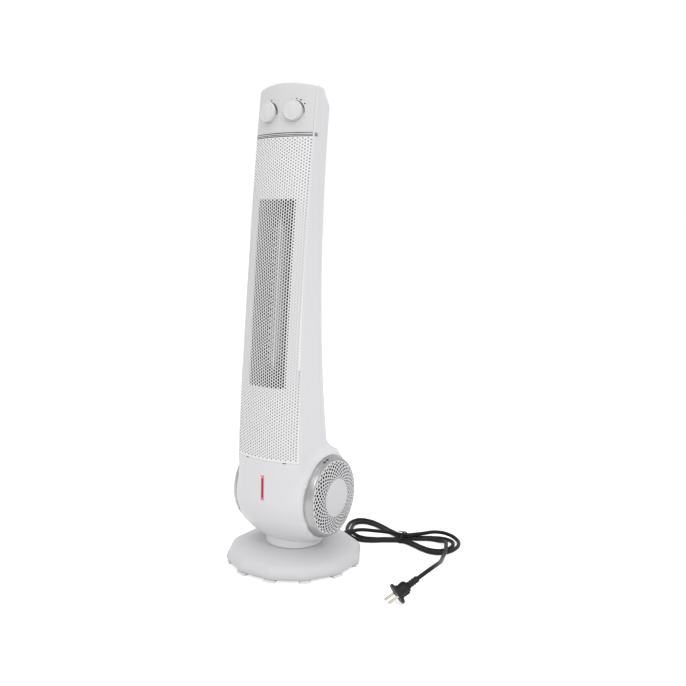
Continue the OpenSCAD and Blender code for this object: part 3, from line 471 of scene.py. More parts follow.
@dataclass(frozen=True)
class TintedLens(Finish):
    """Clear tinted plastic, faintly lit from behind, with a lengthwise variation."""

    glow: float
    coat: float = 0.6
    coat_roughness: float = 0.05
    roughness: float = 0.19
    dark: float = 0.8
    light: float = 1.15
    band: Noise = Noise(160.0, 1.0, (0.2, 0.2, 1.0))
    spread: float = 0.06

    def surface(self, bench: Bench) -> bpy.types.Material:
        """Adds a soft lengthwise variation to colour and glow.

        Args:
            bench: Empty node tree.

        Returns:
            The material.
        """
        band = bench.noise(self.band)
        tone = bench.vary(band, self.colour, self.dark, self.light)
        return bench.principled({
            "Base Color": tone,
            "Roughness": self.roughness + self.spread * (band - 0.5),
            "Emission Color": tone,
            "Emission Strength": self.glow,
            "Coat Weight": self.coat,
            "Coat Roughness": self.coat_roughness,
        })


@dataclass(frozen=True)
class StudioGround(Finish):
    """Pale ground that shows as plain white and keeps a soft shadow."""

    lift: float = 0.62

    def surface(self, bench: Bench) -> bpy.types.Material:
        """Adds light to the ground's own colour, for rays that show it.

        Args:
            bench: Empty node tree.

        Returns:
            The material.
        """
        seen = bench.add("ShaderNodeLightPath", output="Is Camera Ray")
        mirrored = bench.add("ShaderNodeLightPath", output="Is Glossy Ray")
        diffuse = bench.add("ShaderNodeBsdfDiffuse", {}, {"Color": (*self.colour, 1.0)})
        glow = bench.add("ShaderNodeEmission", {}, {"Strength": (seen + mirrored) * self.lift})
        return bench.finish(bench.add("ShaderNodeAddShader", {}, {0: diffuse, 1: glow}))


WHITE = MouldedPlastic("shell_white_plastic", (0.785, 0.78, 0.8), 0.36)
PANEL = MouldedPlastic("panel_white_plastic", (0.71, 0.705, 0.715), 0.32)
BASE_WHITE = MouldedPlastic("base_white_plastic", (0.65, 0.65, 0.665), 0.42, 0.35)
GRILLE = MouldedPlastic("grille_white_paint", (0.88, 0.875, 0.885), 0.3, 0.15)
COVER = MouldedPlastic("cover_white_plastic", (0.69, 0.69, 0.705), 0.34)
DIAL = MouldedPlastic("dial_white_plastic", (0.74, 0.735, 0.73), 0.28)
# Painted light: the pads are made paler than the base so the shade under its overhang leaves them
# as light as the base.
PAD_PAINTED_LIGHT = MouldedPlastic("pad_rubber_painted_light", (0.88, 0.88, 0.89), 0.6, 0.3, (0.98, 1.02))
RING = SilverLacquer("ring_silver_lacquer", (0.41, 0.41, 0.415), 0.3, metallic=0.7)
# Painted highlight: the beads' silver is made far brighter than the band's to stand for the
# strip's highlights.
BEAD_HIGHLIGHT = SilverLacquer("bead_painted_highlight", (0.72, 0.72, 0.73), 0.2, metallic=0.9)
BAND = SilverLacquer("band_dark_silver", (0.13, 0.13, 0.135), 0.3, metallic=0.6)
INK = MouldedPlastic("printed_dark_ink", (0.03, 0.03, 0.033), 0.5, 0.05)
SHEATH = RubberSheath("lead_black_sheath", (0.012, 0.012, 0.013))
PLUG = RubberSheath("plug_black_rubber", (0.02, 0.02, 0.021), 0.5)
LENS = TintedLens("lens_red_plastic", (0.9, 0.16, 0.25), 0.3)
LENS_CORE = TintedLens("lens_dark_core", (0.2, 0.012, 0.035), 0.1, 0.1)
NICKEL = PlainMetal("pin_nickel_plate", (0.62, 0.58, 0.5), 0.23)
ZINC = PlainMetal("zinc_plated_steel", (0.5, 0.5, 0.51), 0.33)
# Painted shade and painted highlight: fins and ceramic dark at the edges, bright along the middle.
FIN = ShadeAndHighlightPart("fin_aluminium", (0.05, 0.044, 0.04), (0.66, 0.645, 0.62), 0.8)
CERAMIC = ShadeAndHighlightPart("heater_ceramic", (0.07, 0.058, 0.05), (0.8, 0.78, 0.74), 0.0)
BLACK = MouldedPlastic("heat_black_plastic", (0.022, 0.02, 0.02), 0.6, 0.5, (0.8, 1.2))
DUCT = MouldedPlastic("duct_grey_plastic", (0.16, 0.16, 0.17), 0.55, 0.4, (0.95, 1.05))
NYLON = MouldedPlastic("bearing_nylon", (0.7, 0.7, 0.66), 0.45, 0.3, (0.98, 1.02))
BOARD = MouldedPlastic("board_green_resin", (0.02, 0.1, 0.05), 0.4, 0.2, (0.9, 1.1))
FOAM = OpenFoam("filter_dark_foam", (0.035, 0.035, 0.037))
GROUND = StudioGround("studio_ground", (0.74, 0.74, 0.74))


# Mesh making


def circle(steps: int) -> np.ndarray:
    """Angles of evenly spaced places round a full turn."""
    return np.linspace(0, 2 * math.pi, steps, endpoint=False)


def ring(radius: np.ndarray | float, z: float, turn: np.ndarray) -> np.ndarray:
    """Points of a level ring about the Z axis.

    Args:
        radius: One radius, or one for each point.
        z: Height of the ring.
        turn: Angles of the points.

    Returns:
        The points.
    """
    return np.stack([radius * np.cos(turn), radius * np.sin(turn), np.full(len(turn), z)], 1)


@dataclass
class Form:
    """Points and faces in millimetres, gathered before they become a piece."""

    points: list[Point] = field(default_factory=list)
    faces: list[tuple[int, ...]] = field(default_factory=list)

    def _take(self, rows: Iterable[np.ndarray]) -> int:
        """Takes in rows of points.

        Args:
            rows: The rows.

        Returns:
            Number of the first new point.
        """
        start = len(self.points)
        for row in rows:
            self.points.extend(tuple(map(float, p)) for p in row)
        return start

    def grid(self, rows: Sequence[np.ndarray], closed: bool = False) -> "Form":
        """Adds rows of points joined by four-sided faces.

        Args:
            rows: Rows of equally many points.
            closed: Whether the last column joins the first.

        Returns:
            The form itself.
        """
        start, count = self._take(rows), len(rows[0])
        for a in range(start, start + (len(rows) - 1) * count, count):
            for i in range(count if closed else count - 1):
                j = (i + 1) % count
                self.faces.append((a + i, a + j, a + count + j, a + count + i))
        return self

    def close(self, count: int) -> "Form":
        """Adds one many-sided face over the last points.

        Args:
            count: How many points it takes.

        Returns:
            The form itself.
        """
        self.faces.append(tuple(range(len(self.points) - count, len(self.points))))
        return self

    def fan(self, row: np.ndarray) -> "Form":
        """Adds one many-sided face with these points."""
        self._take([row])
        return self.close(len(row))

    def prism(self, rows: Sequence[np.ndarray]) -> "Form":
        """Adds a solid from closed outlines, one behind the other.

        Args:
            rows: Outlines of equally many points.

        Returns:
            The form itself.
        """
        return self.grid(rows, closed=True).fan(rows[0][::-1]).fan(rows[-1])

    def bar(self, rows: Sequence[np.ndarray]) -> "Form":
        """Adds a solid from edges that run along it.

        Args:
            rows: Edges of equally many points, in their order round the bar.

        Returns:
            The form itself.
        """
        first, last = (np.array([row[k] for row in rows]) for k in (0, -1))
        return self.grid([*rows, rows[0]]).fan(first).fan(last[::-1])

    def lathe(self, profile: Profile, steps: int = 96) -> "Form":
        """Adds a turned shape about the Z axis.

        Args:
            profile: Radius and height of each ring, ends on the axis where it is closed.
            steps: Steps round the axis.

        Returns:
            The form itself.
        """
        return self.grid([ring(r, z, circle(steps)) for r, z in profile], closed=True)

    def sweep(self, path: Sequence[Point], radius: float, sides: int = 8) -> "Form":
        """Adds a round wire with closed ends along a path.

        Args:
            path: Points of the centreline.
            radius: Radius of the wire.
            sides: Sides of the wire.

        Returns:
            The form itself.
        """
        line = np.array(path)
        ahead = np.gradient(line, axis=0)
        across = np.cross(ahead / np.linalg.norm(ahead, axis=1)[:, None], (0.0, 0.0, 1.0))
        across /= np.linalg.norm(across, axis=1)[:, None]
        above = np.cross(across, ahead / np.linalg.norm(ahead, axis=1)[:, None])
        turn = circle(sides)[:, None]
        return self.prism([p + radius * (np.cos(turn) * u + np.sin(turn) * v)
                           for p, u, v in zip(line, across, above)])

    def join(self, other: "Form") -> "Form":
        """Takes in another form.

        Args:
            other: The form to add.

        Returns:
            The form itself.
        """
        start = self._take([other.points])
        self.faces += [tuple(start + i for i in face) for face in other.faces]
        return self

    def moved(self, place: Matrix) -> "Form":
        """The form in another place.

        Args:
            place: Transform in millimetres.

        Returns:
            The form itself.
        """
        self.points = [tuple(place @ Vector(p)) for p in self.points]
        return self


@dataclass
class Piece:
    """A finished piece of the heater and where it belongs."""

    name: str
    form: Form
    finish: Finish
    body: Body
    slot: str
    replaces: tuple[str, ...] = ()
    crease: float = 32.0
    weld: float = 0.004
    bevel: float = 0.0
    thickness: float = 0.0
    cutter: Form | None = None
    wound: bool = False

    def _mesh(self, name: str, form: Form, wound: bool = False) -> bpy.types.Object:
        """Makes a clean object from a form.

        Args:
            name: Name of the object.
            form: Shape in millimetres.
            wound: Whether its faces already look outward.

        Returns:
            The object, linked to the scene.
        """
        data = bpy.data.meshes.new(name)
        data.from_pydata([[c * MM for c in p] for p in form.points], [], form.faces)
        tool = bmesh.new()
        tool.from_mesh(data)
        bmesh.ops.remove_doubles(tool, verts=tool.verts, dist=self.weld * MM)
        bmesh.ops.dissolve_degenerate(tool, edges=tool.edges, dist=self.weld * MM)
        if not wound:
            bmesh.ops.recalc_face_normals(tool, faces=tool.faces)
        tool.to_mesh(data)
        tool.free()
        return linked(name, data)

    def _apply(self, made: bpy.types.Object, kind: str, **settings: object) -> None:
        """Applies one modifier to the object.

        Args:
            made: The object.
            kind: Type of the modifier.
            **settings: Its settings.
        """
        step = made.modifiers.new(kind.lower(), kind)
        for key, value in settings.items():
            setattr(step, key, value)
        shown = made.evaluated_get(bpy.context.evaluated_depsgraph_get())
        mesh = bpy.data.meshes.new_from_object(shown)
        made.modifiers.clear()
        made.data = mesh

    def make(self) -> bpy.types.Object:
        """Builds the piece, dresses it and sets it on its body.

        Returns:
            The object.
        """
        made = self._mesh(self.name, self.form, self.wound)
        if self.thickness:
            self._apply(made, "SOLIDIFY", thickness=self.thickness * MM, offset=-1.0,
                        use_even_offset=False, use_rim=True)
        if self.cutter:
            tool = self._mesh(self.name + "_cutter", self.cutter)
            self._apply(made, "BOOLEAN", object=tool, operation="DIFFERENCE", solver="EXACT")
            bpy.data.objects.remove(tool)
        if self.bevel:
            self._apply(made, "BEVEL", width=self.bevel * MM, segments=EDGE_STEPS,
                        limit_method="ANGLE", angle_limit=EDGE_ANGLE)
        soften(made, self.crease)
        dress(made, self.finish)
        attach(made, self.body.value)
        if self.replaces:
            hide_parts(*self.replaces)
        LOG.info("%s: %d faces on %s", self.name, len(made.data.polygons), self.body.value)
        return made


def linked(name: str, data: bpy.types.ID) -> bpy.types.Object:
    """Makes an object and links it to the scene.

    Args:
        name: Name of the object.
        data: Mesh, curve, camera or light of the object.

    Returns:
        The object.
    """
    made = bpy.data.objects.new(name, data)
    bpy.context.scene.collection.objects.link(made)
    return made


def dress(made: bpy.types.Object, finish: Finish) -> None:
    """Gives an object one finish.

    Args:
        made: The object.
        finish: The finish it gets instead of any other.
    """
    made.data.materials.clear()
    made.data.materials.append(finish.build())


def soften(made: bpy.types.Object, crease: float) -> None:
    """Smooths the shading of a mesh, apart from its creases.

    Args:
        made: The object.
        crease: Angle in degrees above which an edge stays sharp.
    """
    tool = bmesh.new()
    tool.from_mesh(made.data)
    limit = math.radians(crease)
    for face in tool.faces:
        face.smooth = True
    for edge in tool.edges:
        edge.smooth = len(edge.link_faces) == 2 and edge.calc_face_angle(0.0) < limit
    tool.to_mesh(made.data)
    tool.free()


def rounded(profile: Profile, radius: float, steps: int, most: float = 0.45
            ) -> list[tuple[float, float]]:
    """Rounds the inner corners of an open profile.

    Args:
        profile: Corners of the profile.
        radius: Length that is cut from each side of a corner.
        steps: Steps of each rounding.
        most: Greatest share of a side that is cut.

    Returns:
        The finer profile.
    """
    out = [profile[0]]
    for before, corner, after in zip(profile, profile[1:], profile[2:]):
        a, c, b = (np.array(p, float) for p in (before, corner, after))
        reach = min(radius, most * np.linalg.norm(a - c), most * np.linalg.norm(b - c))
        p, q = (c + (end - c) / np.linalg.norm(end - c) * reach for end in (a, b))
        out += [tuple((1 - s) ** 2 * p + 2 * s * (1 - s) * c + s * s * q)
                for s in np.linspace(0, 1, steps + 1)]
    out.append(profile[-1])
    return out


def ease(share: float) -> float:
    """Smooth step from 0 to 1."""
    s = min(max(share, 0.0), 1.0)
    return s * s * (3 - 2 * s)


# Studio


@dataclass(frozen=True)
class Lamp:
    """One soft square lamp: where it hangs and what it points at, size in metres, watts."""

    name: str
    place: Point
    aim: Point
    size: float
    power: float

    def hang(self) -> None:
        """Hangs the lamp."""
        data = bpy.data.lights.new(self.name, "AREA")
        data.size, data.energy, data.shape = self.size, self.power, "SQUARE"
        lamp = linked(self.name, data)
        lamp.location = self.place
        way = Vector(self.aim) - Vector(self.place)
        lamp.rotation_euler = way.to_track_quat("-Z", "Y").to_euler()


@dataclass(frozen=True)
class Studio:
    """Camera, plain ground and soft lamps."""

    eye: Point = (0.8009, -1.0943, 0.5489)
    ahead: Point = (-0.5376, 0.8323, -0.1352)
    roll: float = 0.43
    focal: float = 44.107
    sensor: float = 36.0
    seen: tuple[float, float] = (0.05, 60.0)
    ground_half: float = 40.0
    sky: float = 0.8
    lamps: tuple[Lamp, ...] = (
        Lamp("key_lamp", (2.2, -1.6, 2.4), (0.0, 0.0, 0.35), 1.6, 26.0),
        Lamp("top_lamp", (-0.4, -0.6, 3.0), (0.0, 0.0, 0.4), 2.0, 14.0))

    def camera(self) -> None:
        """Sets the camera where the photographer stood."""
        data = bpy.data.cameras.new("studio_camera")
        data.lens, data.sensor_width, data.sensor_fit = self.focal, self.sensor, "HORIZONTAL"
        data.clip_start, data.clip_end = self.seen
        camera = linked("studio_camera", data)
        turn = Vector(self.ahead).to_track_quat("-Z", "Y").to_matrix().to_4x4()
        camera.matrix_world = (Matrix.Translation(self.eye) @ turn
                               @ Matrix.Rotation(math.radians(self.roll), 4, "Z"))
        bpy.context.scene.camera = camera

    def ground(self) -> None:
        """Lays the pale ground."""
        half = self.ground_half
        corners = [(-half, -half, 0), (half, -half, 0), (half, half, 0), (-half, half, 0)]
        data = bpy.data.meshes.new("studio_ground")
        data.from_pydata(corners, [], [(0, 1, 2, 3)])
        ground = linked("studio_ground", data)
        dress(ground, GROUND)

    def lights(self) -> None:
        """Lights the sky, white where the camera sees it, and hangs the lamps."""
        world = bpy.data.worlds.new("studio_sky")
        bpy.context.scene.world = world
        bench = Bench(world)
        shown = bench.add("ShaderNodeMath", {"operation": "ADD", "use_clamp": True}, {
            0: bench.add("ShaderNodeLightPath", output="Is Camera Ray"),
            1: bench.add("ShaderNodeLightPath", output="Is Transmission Ray")})
        level = bench.add("ShaderNodeMapRange", {}, {
            "Value": shown, "To Min": self.sky, "To Max": 1.0})
        glow = bench.add("ShaderNodeBackground", {}, {
            "Color": (1.0, 1.0, 1.0, 1.0), "Strength": level})
        bench.add("ShaderNodeOutputWorld", {}, {"Surface": glow})
        for lamp in self.lamps:
            lamp.hang()

    def build(self) -> None:
        """Sets up the whole studio."""
        self.camera()
        self.ground()
        self.lights()
        bpy.context.scene.view_settings.view_transform = "Standard"
        LOG.info("studio: camera, ground and lamps")


# Mains lead


@dataclass(frozen=True)
class Lobe:
    """One end of the hank: sizes of its inner turn, and what each turn outward adds."""

    reach: float
    reach_step: float
    bulge: float
    bulge_step: float


@dataclass(frozen=True)
class MainsLead:
    """Black lead: gland, tied hank of two and a half turns, tail and plug.

    The hank's points are given about its tie, the first ones in the heater's frame.
    """

    width: float = 6.6
    lane: float = 8.5
    lanes: float = 1.5
    tie: Point = (117.0, 168.0, 0.0)
    turn: float = 5.0
    upper: float = 10.9
    gland_angle: float = 75.0
    gland_r: float = 134.3
    gland_z: float = 12.5
    gland_long: float = 20.0
    gland_ribs: tuple[int, ...] = (3, 7, 11, 15)
    gland_rib: Profile = ((4.3, 1.0), (5.0, 0.6), (5.0, -1.0), (4.4, -1.4))
    gland_growth: tuple[float, ...] = (0.055, 0.04, 0.04, 0.055)
    gland_tip: float = 4.2
    gland_wall: float = 5.4
    gland_ends: tuple[float, float] = (1.0, -11.0)
    gland_lead: float = 10.0
    sleeve: float = 3.36
    first: tuple[Point, ...] = (
        (37, 137, 12.4), (41.5, 144, 12), (48.5, 149.5, 11.6), (57, 153.5, 11.2), (67, 157.5, 11),
        (79, 161.6, 10.9))
    in_tie: tuple[Point, ...] = ((-26, -1, 10.9), (-17, -0.5, 10.9))
    last: tuple[Point, ...] = (
        (60, 19.5, 4.2), (71.5, 13, 7.2), (79, 2, 10.2), (83.5, -10, 10.9), (88, -22, 10.9),
        (92, -34, 10.9), (95, -46, 11), (97.5, -58, 11.6))
    left: Lobe = Lobe(83.0, 8.8, 60.0, 14.0)
    right: Lobe = Lobe(105.0, 9.0, 90.0, 20.0)
    turns: tuple[int, int, int] = (90, 841, 15)
    lane_change: float = 90.0
    lane_changes: tuple[float, float] = (135.0, 495.0)
    spread_over: float = 30.0
    round_off: tuple[float, float] = (0.06, 0.245)
    skew: float = 12.0
    lean: float = 0.15
    dive: tuple[float, float] = (118.0, 40.0)
    plug_start: Point = (250.6, -32.8, 34.4)
    plug_way: Point = (-50.9, -70.3, -49.5)
    plug_roll: float = 11.0
    leave_pull: float = 140.0
    arrive_pull: float = 160.0
    bow_steps: int = 16
    round_steps: int = 4
    knot_steps: int = 8
    tie_foot: Profile = ((-1.6, 1.0), (0.0, 2.2), (0.1, 5.0), (-0.6, 7.6))
    tie_top: Profile = ((10.0, 11.6), (6.6, 14.2), (3.2, 15.6), (0.0, 15.9))
    wire: float = 0.85
    wire_apart: float = 1.1
    wire_wave: float = 0.2
    wire_clear: float = 1.6
    twist: float = 0.6
    twist_start: Point = (-1.0, 0.0, 16.3)
    twist_step: Point = (-0.8, 0.0, -0.02)
    twist_wave: Point = (0.0, 0.7, 0.35)
    twist_turn: float = 0.9
    twist_steps: int = 13
    relief: Profile = ((4.3, 0.0), (4.6, 0.5))
    ribs: tuple[float, ...] = (2.0, 6.5, 11.0, 15.5)
    rib: Profile = ((4.6, 0.0), (5.1, 0.4), (5.2, 2.1), (4.7, 2.5))
    rib_growth: tuple[float, ...] = (0.0, 1 / 30, 1 / 30, 0.0)
    neck: Profile = (
        (5.3, 18.6), (8.2, 19.0), (8.6, 19.6), (8.6, 20.6), (8.0, 21.1), (7.4, 21.4), (7.6, 24),
        (8.0, 30), (8.7, 34.2), (9.6, 35.3), (15.6, 35.7), (16.4, 36.4), (16.5, 37.4),
        (16.4, 39.4), (15.8, 40.0), (13.2, 40.2), (12.8, 39.7), (0, 39.7))
    wing: Profile = ((6.8, 20.6), (10.4, 21.2), (10.9, 25), (10.2, 31), (12.4, 35.9), (6.8, 35.9))
    wing_half: float = 1.5
    pin: Profile = ((0, 39.72), (2, 39.72), (2, 56.4), (1.7, 57.5), (1.0, 58.15), (0, 58.22))
    pin_off: float = 9.5
    stated: float = 1.5

    def on_floor(self, q: Sequence[float]) -> Point:
        """A point of the hank in the heater's frame."""
        c, s = math.cos(math.radians(self.turn)), math.sin(math.radians(self.turn))
        return (self.tie[0] + q[0] * c - q[1] * s, self.tie[1] + q[0] * s + q[1] * c, q[2])

    def at_gland(self, inward: float = 0.0) -> Point:
        """A point on the gland's axis.

        Args:
            inward: Distance from the gland's mouth toward the heater.

        Returns:
            The point.
        """
        a, r = math.radians(self.gland_angle), self.gland_r - inward
        return (r * math.cos(a), r * math.sin(a), self.gland_z)

    def loop(self, angle: float) -> Point:
        """A point of the hank's turns.

        Args:
            angle: Way round the turns, in degrees.

        Returns:
            The point, about the tie.
        """
        lane = 2 - sum(ease((angle - start) / self.lane_change) for start in self.lane_changes)
        c, s = math.cos(math.radians(angle)), math.sin(math.radians(angle))
        lobe = self.left if c < 0 else self.right
        reach = lobe.reach + lobe.reach_step * lane
        bulge = lobe.bulge + lobe.bulge_step * lane
        spread = self.lane * (0.5 + lane) * ease((angle - self.turns[0]) / self.spread_over)
        soft, waist = self.round_off
        y = (s * (spread + bulge * (math.sqrt(c * c + soft) - waist))
             + self.skew * max(c, 0.0) ** 2)
        low, (start, over) = self.width / 2, self.dive
        high = (self.upper - low) * (1 - ease((angle - start) / over))
        return (-reach * c - self.lean * (1 + c) * y, y, low + high)

    def route(self) -> list[Point]:
        """Centreline of the whole lead.

        Returns:
            The points, in millimetres.
        """
        turns = [self.loop(a) for a in range(*self.turns)]
        hank = [self.on_floor(q) for q in (*self.in_tie, *turns, *self.last)]
        tail = self.bow(*(np.array(p) for p in hank[-2:]))
        return [self.at_gland(self.gland_lead), self.at_gland(), *self.first, *hank, *tail]

    def bow(self, before: np.ndarray, last: np.ndarray) -> list[Point]:
        """The tail: one smooth rise and fall from the hank to the plug.

        Args:
            before: Last point but one of the hank.
            last: Last point of the hank.

        Returns:
            The tail's points after the hank's last one.
        """
        plug, axis = self.plug_frame()
        leave = self.leave_pull * (last - before) / np.linalg.norm(last - before)
        arrive = self.arrive_pull * axis
        return [tuple((2 * t**3 - 3 * t**2 + 1) * last + (t**3 - 2 * t**2 + t) * leave
                      + (3 * t**2 - 2 * t**3) * plug + (t**3 - t**2) * arrive)
                for t in (k / self.bow_steps for k in range(1, self.bow_steps + 1))]

    def plug_frame(self) -> tuple[np.ndarray, np.ndarray]:
        """Where the plug begins, and the way that it points."""
        axis = np.array(self.plug_way)
        return np.array(self.plug_start), axis / np.linalg.norm(axis)

    def cord_lead(self) -> bpy.types.Object:
        """Draws the lead as one smooth curve.

        Returns:
            The lead.
        """
        data = bpy.data.curves.new("mains_lead", "CURVE")
        data.dimensions, data.use_fill_caps = "3D", True
        data.bevel_depth, data.bevel_resolution = self.width / 2 * MM, self.round_steps
        data.resolution_u = self.knot_steps
        points = self.route()
        line = data.splines.new("BEZIER")
        line.bezier_points.add(len(points) - 1)
        for knot, place in zip(line.bezier_points, points):
            knot.co = [c * MM for c in place]
            knot.handle_left_type = knot.handle_right_type = "AUTO"
        made = linked("mains_lead", data)
        dress(made, SHEATH)
        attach(made, Body.BASE.value)
        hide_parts("cord_lead", "cord_hank", "cord_tail")
        LOG.info("mains_lead: %d points", len(points))
        return made

    def gland(self) -> bpy.types.Object:
        """Ribbed, tapered strain relief in the wall of the base.

        Returns:
            The gland.
        """
        long, (foot, end) = self.gland_long, self.gland_ends
        profile = [(self.sleeve, long), (self.gland_tip, long)]
        for deep in self.gland_ribs:
            profile += [(r + growth * deep, long - deep + up)
                        for (r, up), growth in zip(self.gland_rib, self.gland_growth)]
        profile += [(self.gland_wall, foot), (self.gland_wall, end), (self.sleeve, end),
                    profile[0]]
        place = (Matrix.Rotation(math.radians(self.gland_angle), 4, "Z")
                 @ Matrix.Translation((self.gland_r - long, 0, self.gland_z))
                 @ Matrix.Rotation(QUARTER, 4, "Y"))
        form = Form().lathe(profile, steps=40).moved(place)
        return Piece("lead_gland", form, PLUG, Body.BASE, "cord_black", ("cord_gland",)).make()

    def wire_tie(self) -> bpy.types.Object:
        """Twisted wire round the waist of the hank.

        Returns:
            The tie.
        """
        half = self.lanes * self.lane + self.width / 2 + self.wire_clear
        arch = [*((half + x, z) for x, z in self.tie_foot), *self.tie_top]
        arch += [(-x, z) for x, z in reversed(arch[:-1])]
        form = Form()
        for shift in (-self.wire_apart, self.wire_apart):
            form.sweep([self.on_floor((shift + self.wire_wave * math.sin(x), x, z))
                        for x, z in arch], self.wire)
        k = np.arange(self.twist_steps)[:, None]
        line = np.array(self.twist_start) + k * np.array(self.twist_step)
        for phase in (0.0, math.pi):
            a = self.twist_turn * k + phase
            wave = self.twist_wave * np.hstack([0 * a, np.cos(a), np.sin(a)])
            form.sweep([self.on_floor(q) for q in line + wave], self.twist)
        return Piece("lead_tie", form, PLUG, Body.BASE, "cord_black", ("cord_tie",)).make()

    def plug(self) -> list[bpy.types.Object]:
        """Two-pin plug with a ribbed relief, a collar and a round flange.

        Returns:
            The plug's body and its pins.
        """
        start, axis = self.plug_frame()
        place = (Matrix.Translation(start)
                 @ Matrix.Rotation(math.atan2(axis[1], axis[0]), 4, "Z")
                 @ Matrix.Rotation(QUARTER - math.asin(axis[2]), 4, "Y")
                 @ Matrix.Rotation(math.radians(self.plug_roll), 4, "Z"))
        profile = [(self.sleeve, 0), *self.relief]
        for z in self.ribs:
            profile += [(r + growth * z, z + up)
                        for (r, up), growth in zip(self.rib, self.rib_growth)]
        body, pins = Form().lathe([*profile, *self.neck], steps=64), Form()
        for side in Side:
            body.prism([np.array([(side.value * x, y, z) for x, z in self.wing])
                        for y in (-self.wing_half, self.wing_half)])
            pins.join(Form().lathe(self.pin, steps=32).moved(
                Matrix.Translation((0, side.value * self.pin_off, 0))))
        return [
            Piece("mains_plug", body.moved(place), PLUG, Body.BASE, "cord_black",
                  ("plug_body",), crease=30.0, bevel=0.2).make(),
            Piece("plug_round_pins", pins.moved(place), NICKEL, Body.BASE, "pin_nickel",
                  ("plug_pins",), crease=40.0).make(),
        ]

    def build(self) -> None:
        """Makes the lead and all that is on it."""
        lead = self.cord_lead()
        gland, tie, plug = self.gland(), self.wire_tie(), self.plug()


# Round base


@dataclass(frozen=True)
class RoundBase:
    """Swivel base: domed cover with a slightly twelve-sided rim, neck and foot pads."""

    radius: float = 114.3
    flat: float = 110.6
    sector: float = math.pi / 6
    soft: float = 0.006
    flat_from: float = 62.0
    flat_over: float = 44.0
    profile: Profile = (
        (108.4, 4.52), (111.0, 4.52), (113.6, 7), (114.3, 11), (112.6, 15.3), (108.6, 19.8),
        (103.8, 23.5), (96, 26), (80, 28.9), (60, 31.3), (48, 32.4), (44.6, 32.8), (44, 34),
        (44, 41.5), (18, 41.5), (18, 39))
    rounding: float = 3.0
    steps: int = 360
    pad_edge: float = 1.2

    def _row(self, r: float, z: float) -> np.ndarray:
        """One ring of the cover, flattened on twelve sides where it is widest.

        Args:
            r: Radius of the ring.
            z: Height of the ring.

        Returns:
            The points.
        """
        turn, soft = circle(self.steps), self.soft
        off = (turn + self.sector / 2) % self.sector - self.sector / 2
        side = self.flat / self.radius / np.cos(off)
        side = np.minimum(side, 1) - np.maximum(soft - np.abs(1 - side), 0) ** 2 / (4 * soft)
        return ring(r * (1 + (side - 1) * ease((r - self.flat_from) / self.flat_over)), z, turn)

    def build(self) -> None:
        """Makes the cover with its neck, and softens the pads' edges."""
        rows = [self._row(r, z) for r, z in rounded(self.profile, self.rounding, steps=3)]
        Piece("base_cover", Form().grid(rows, closed=True), BASE_WHITE, Body.BASE,
              "base_white", ("base_shell",), crease=40.0).make()
        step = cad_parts["foot_pads"].modifiers.new("edges", "BEVEL")
        step.width, step.segments, step.limit_method = self.pad_edge * MM, EDGE_STEPS, "ANGLE"


# Tower and drum


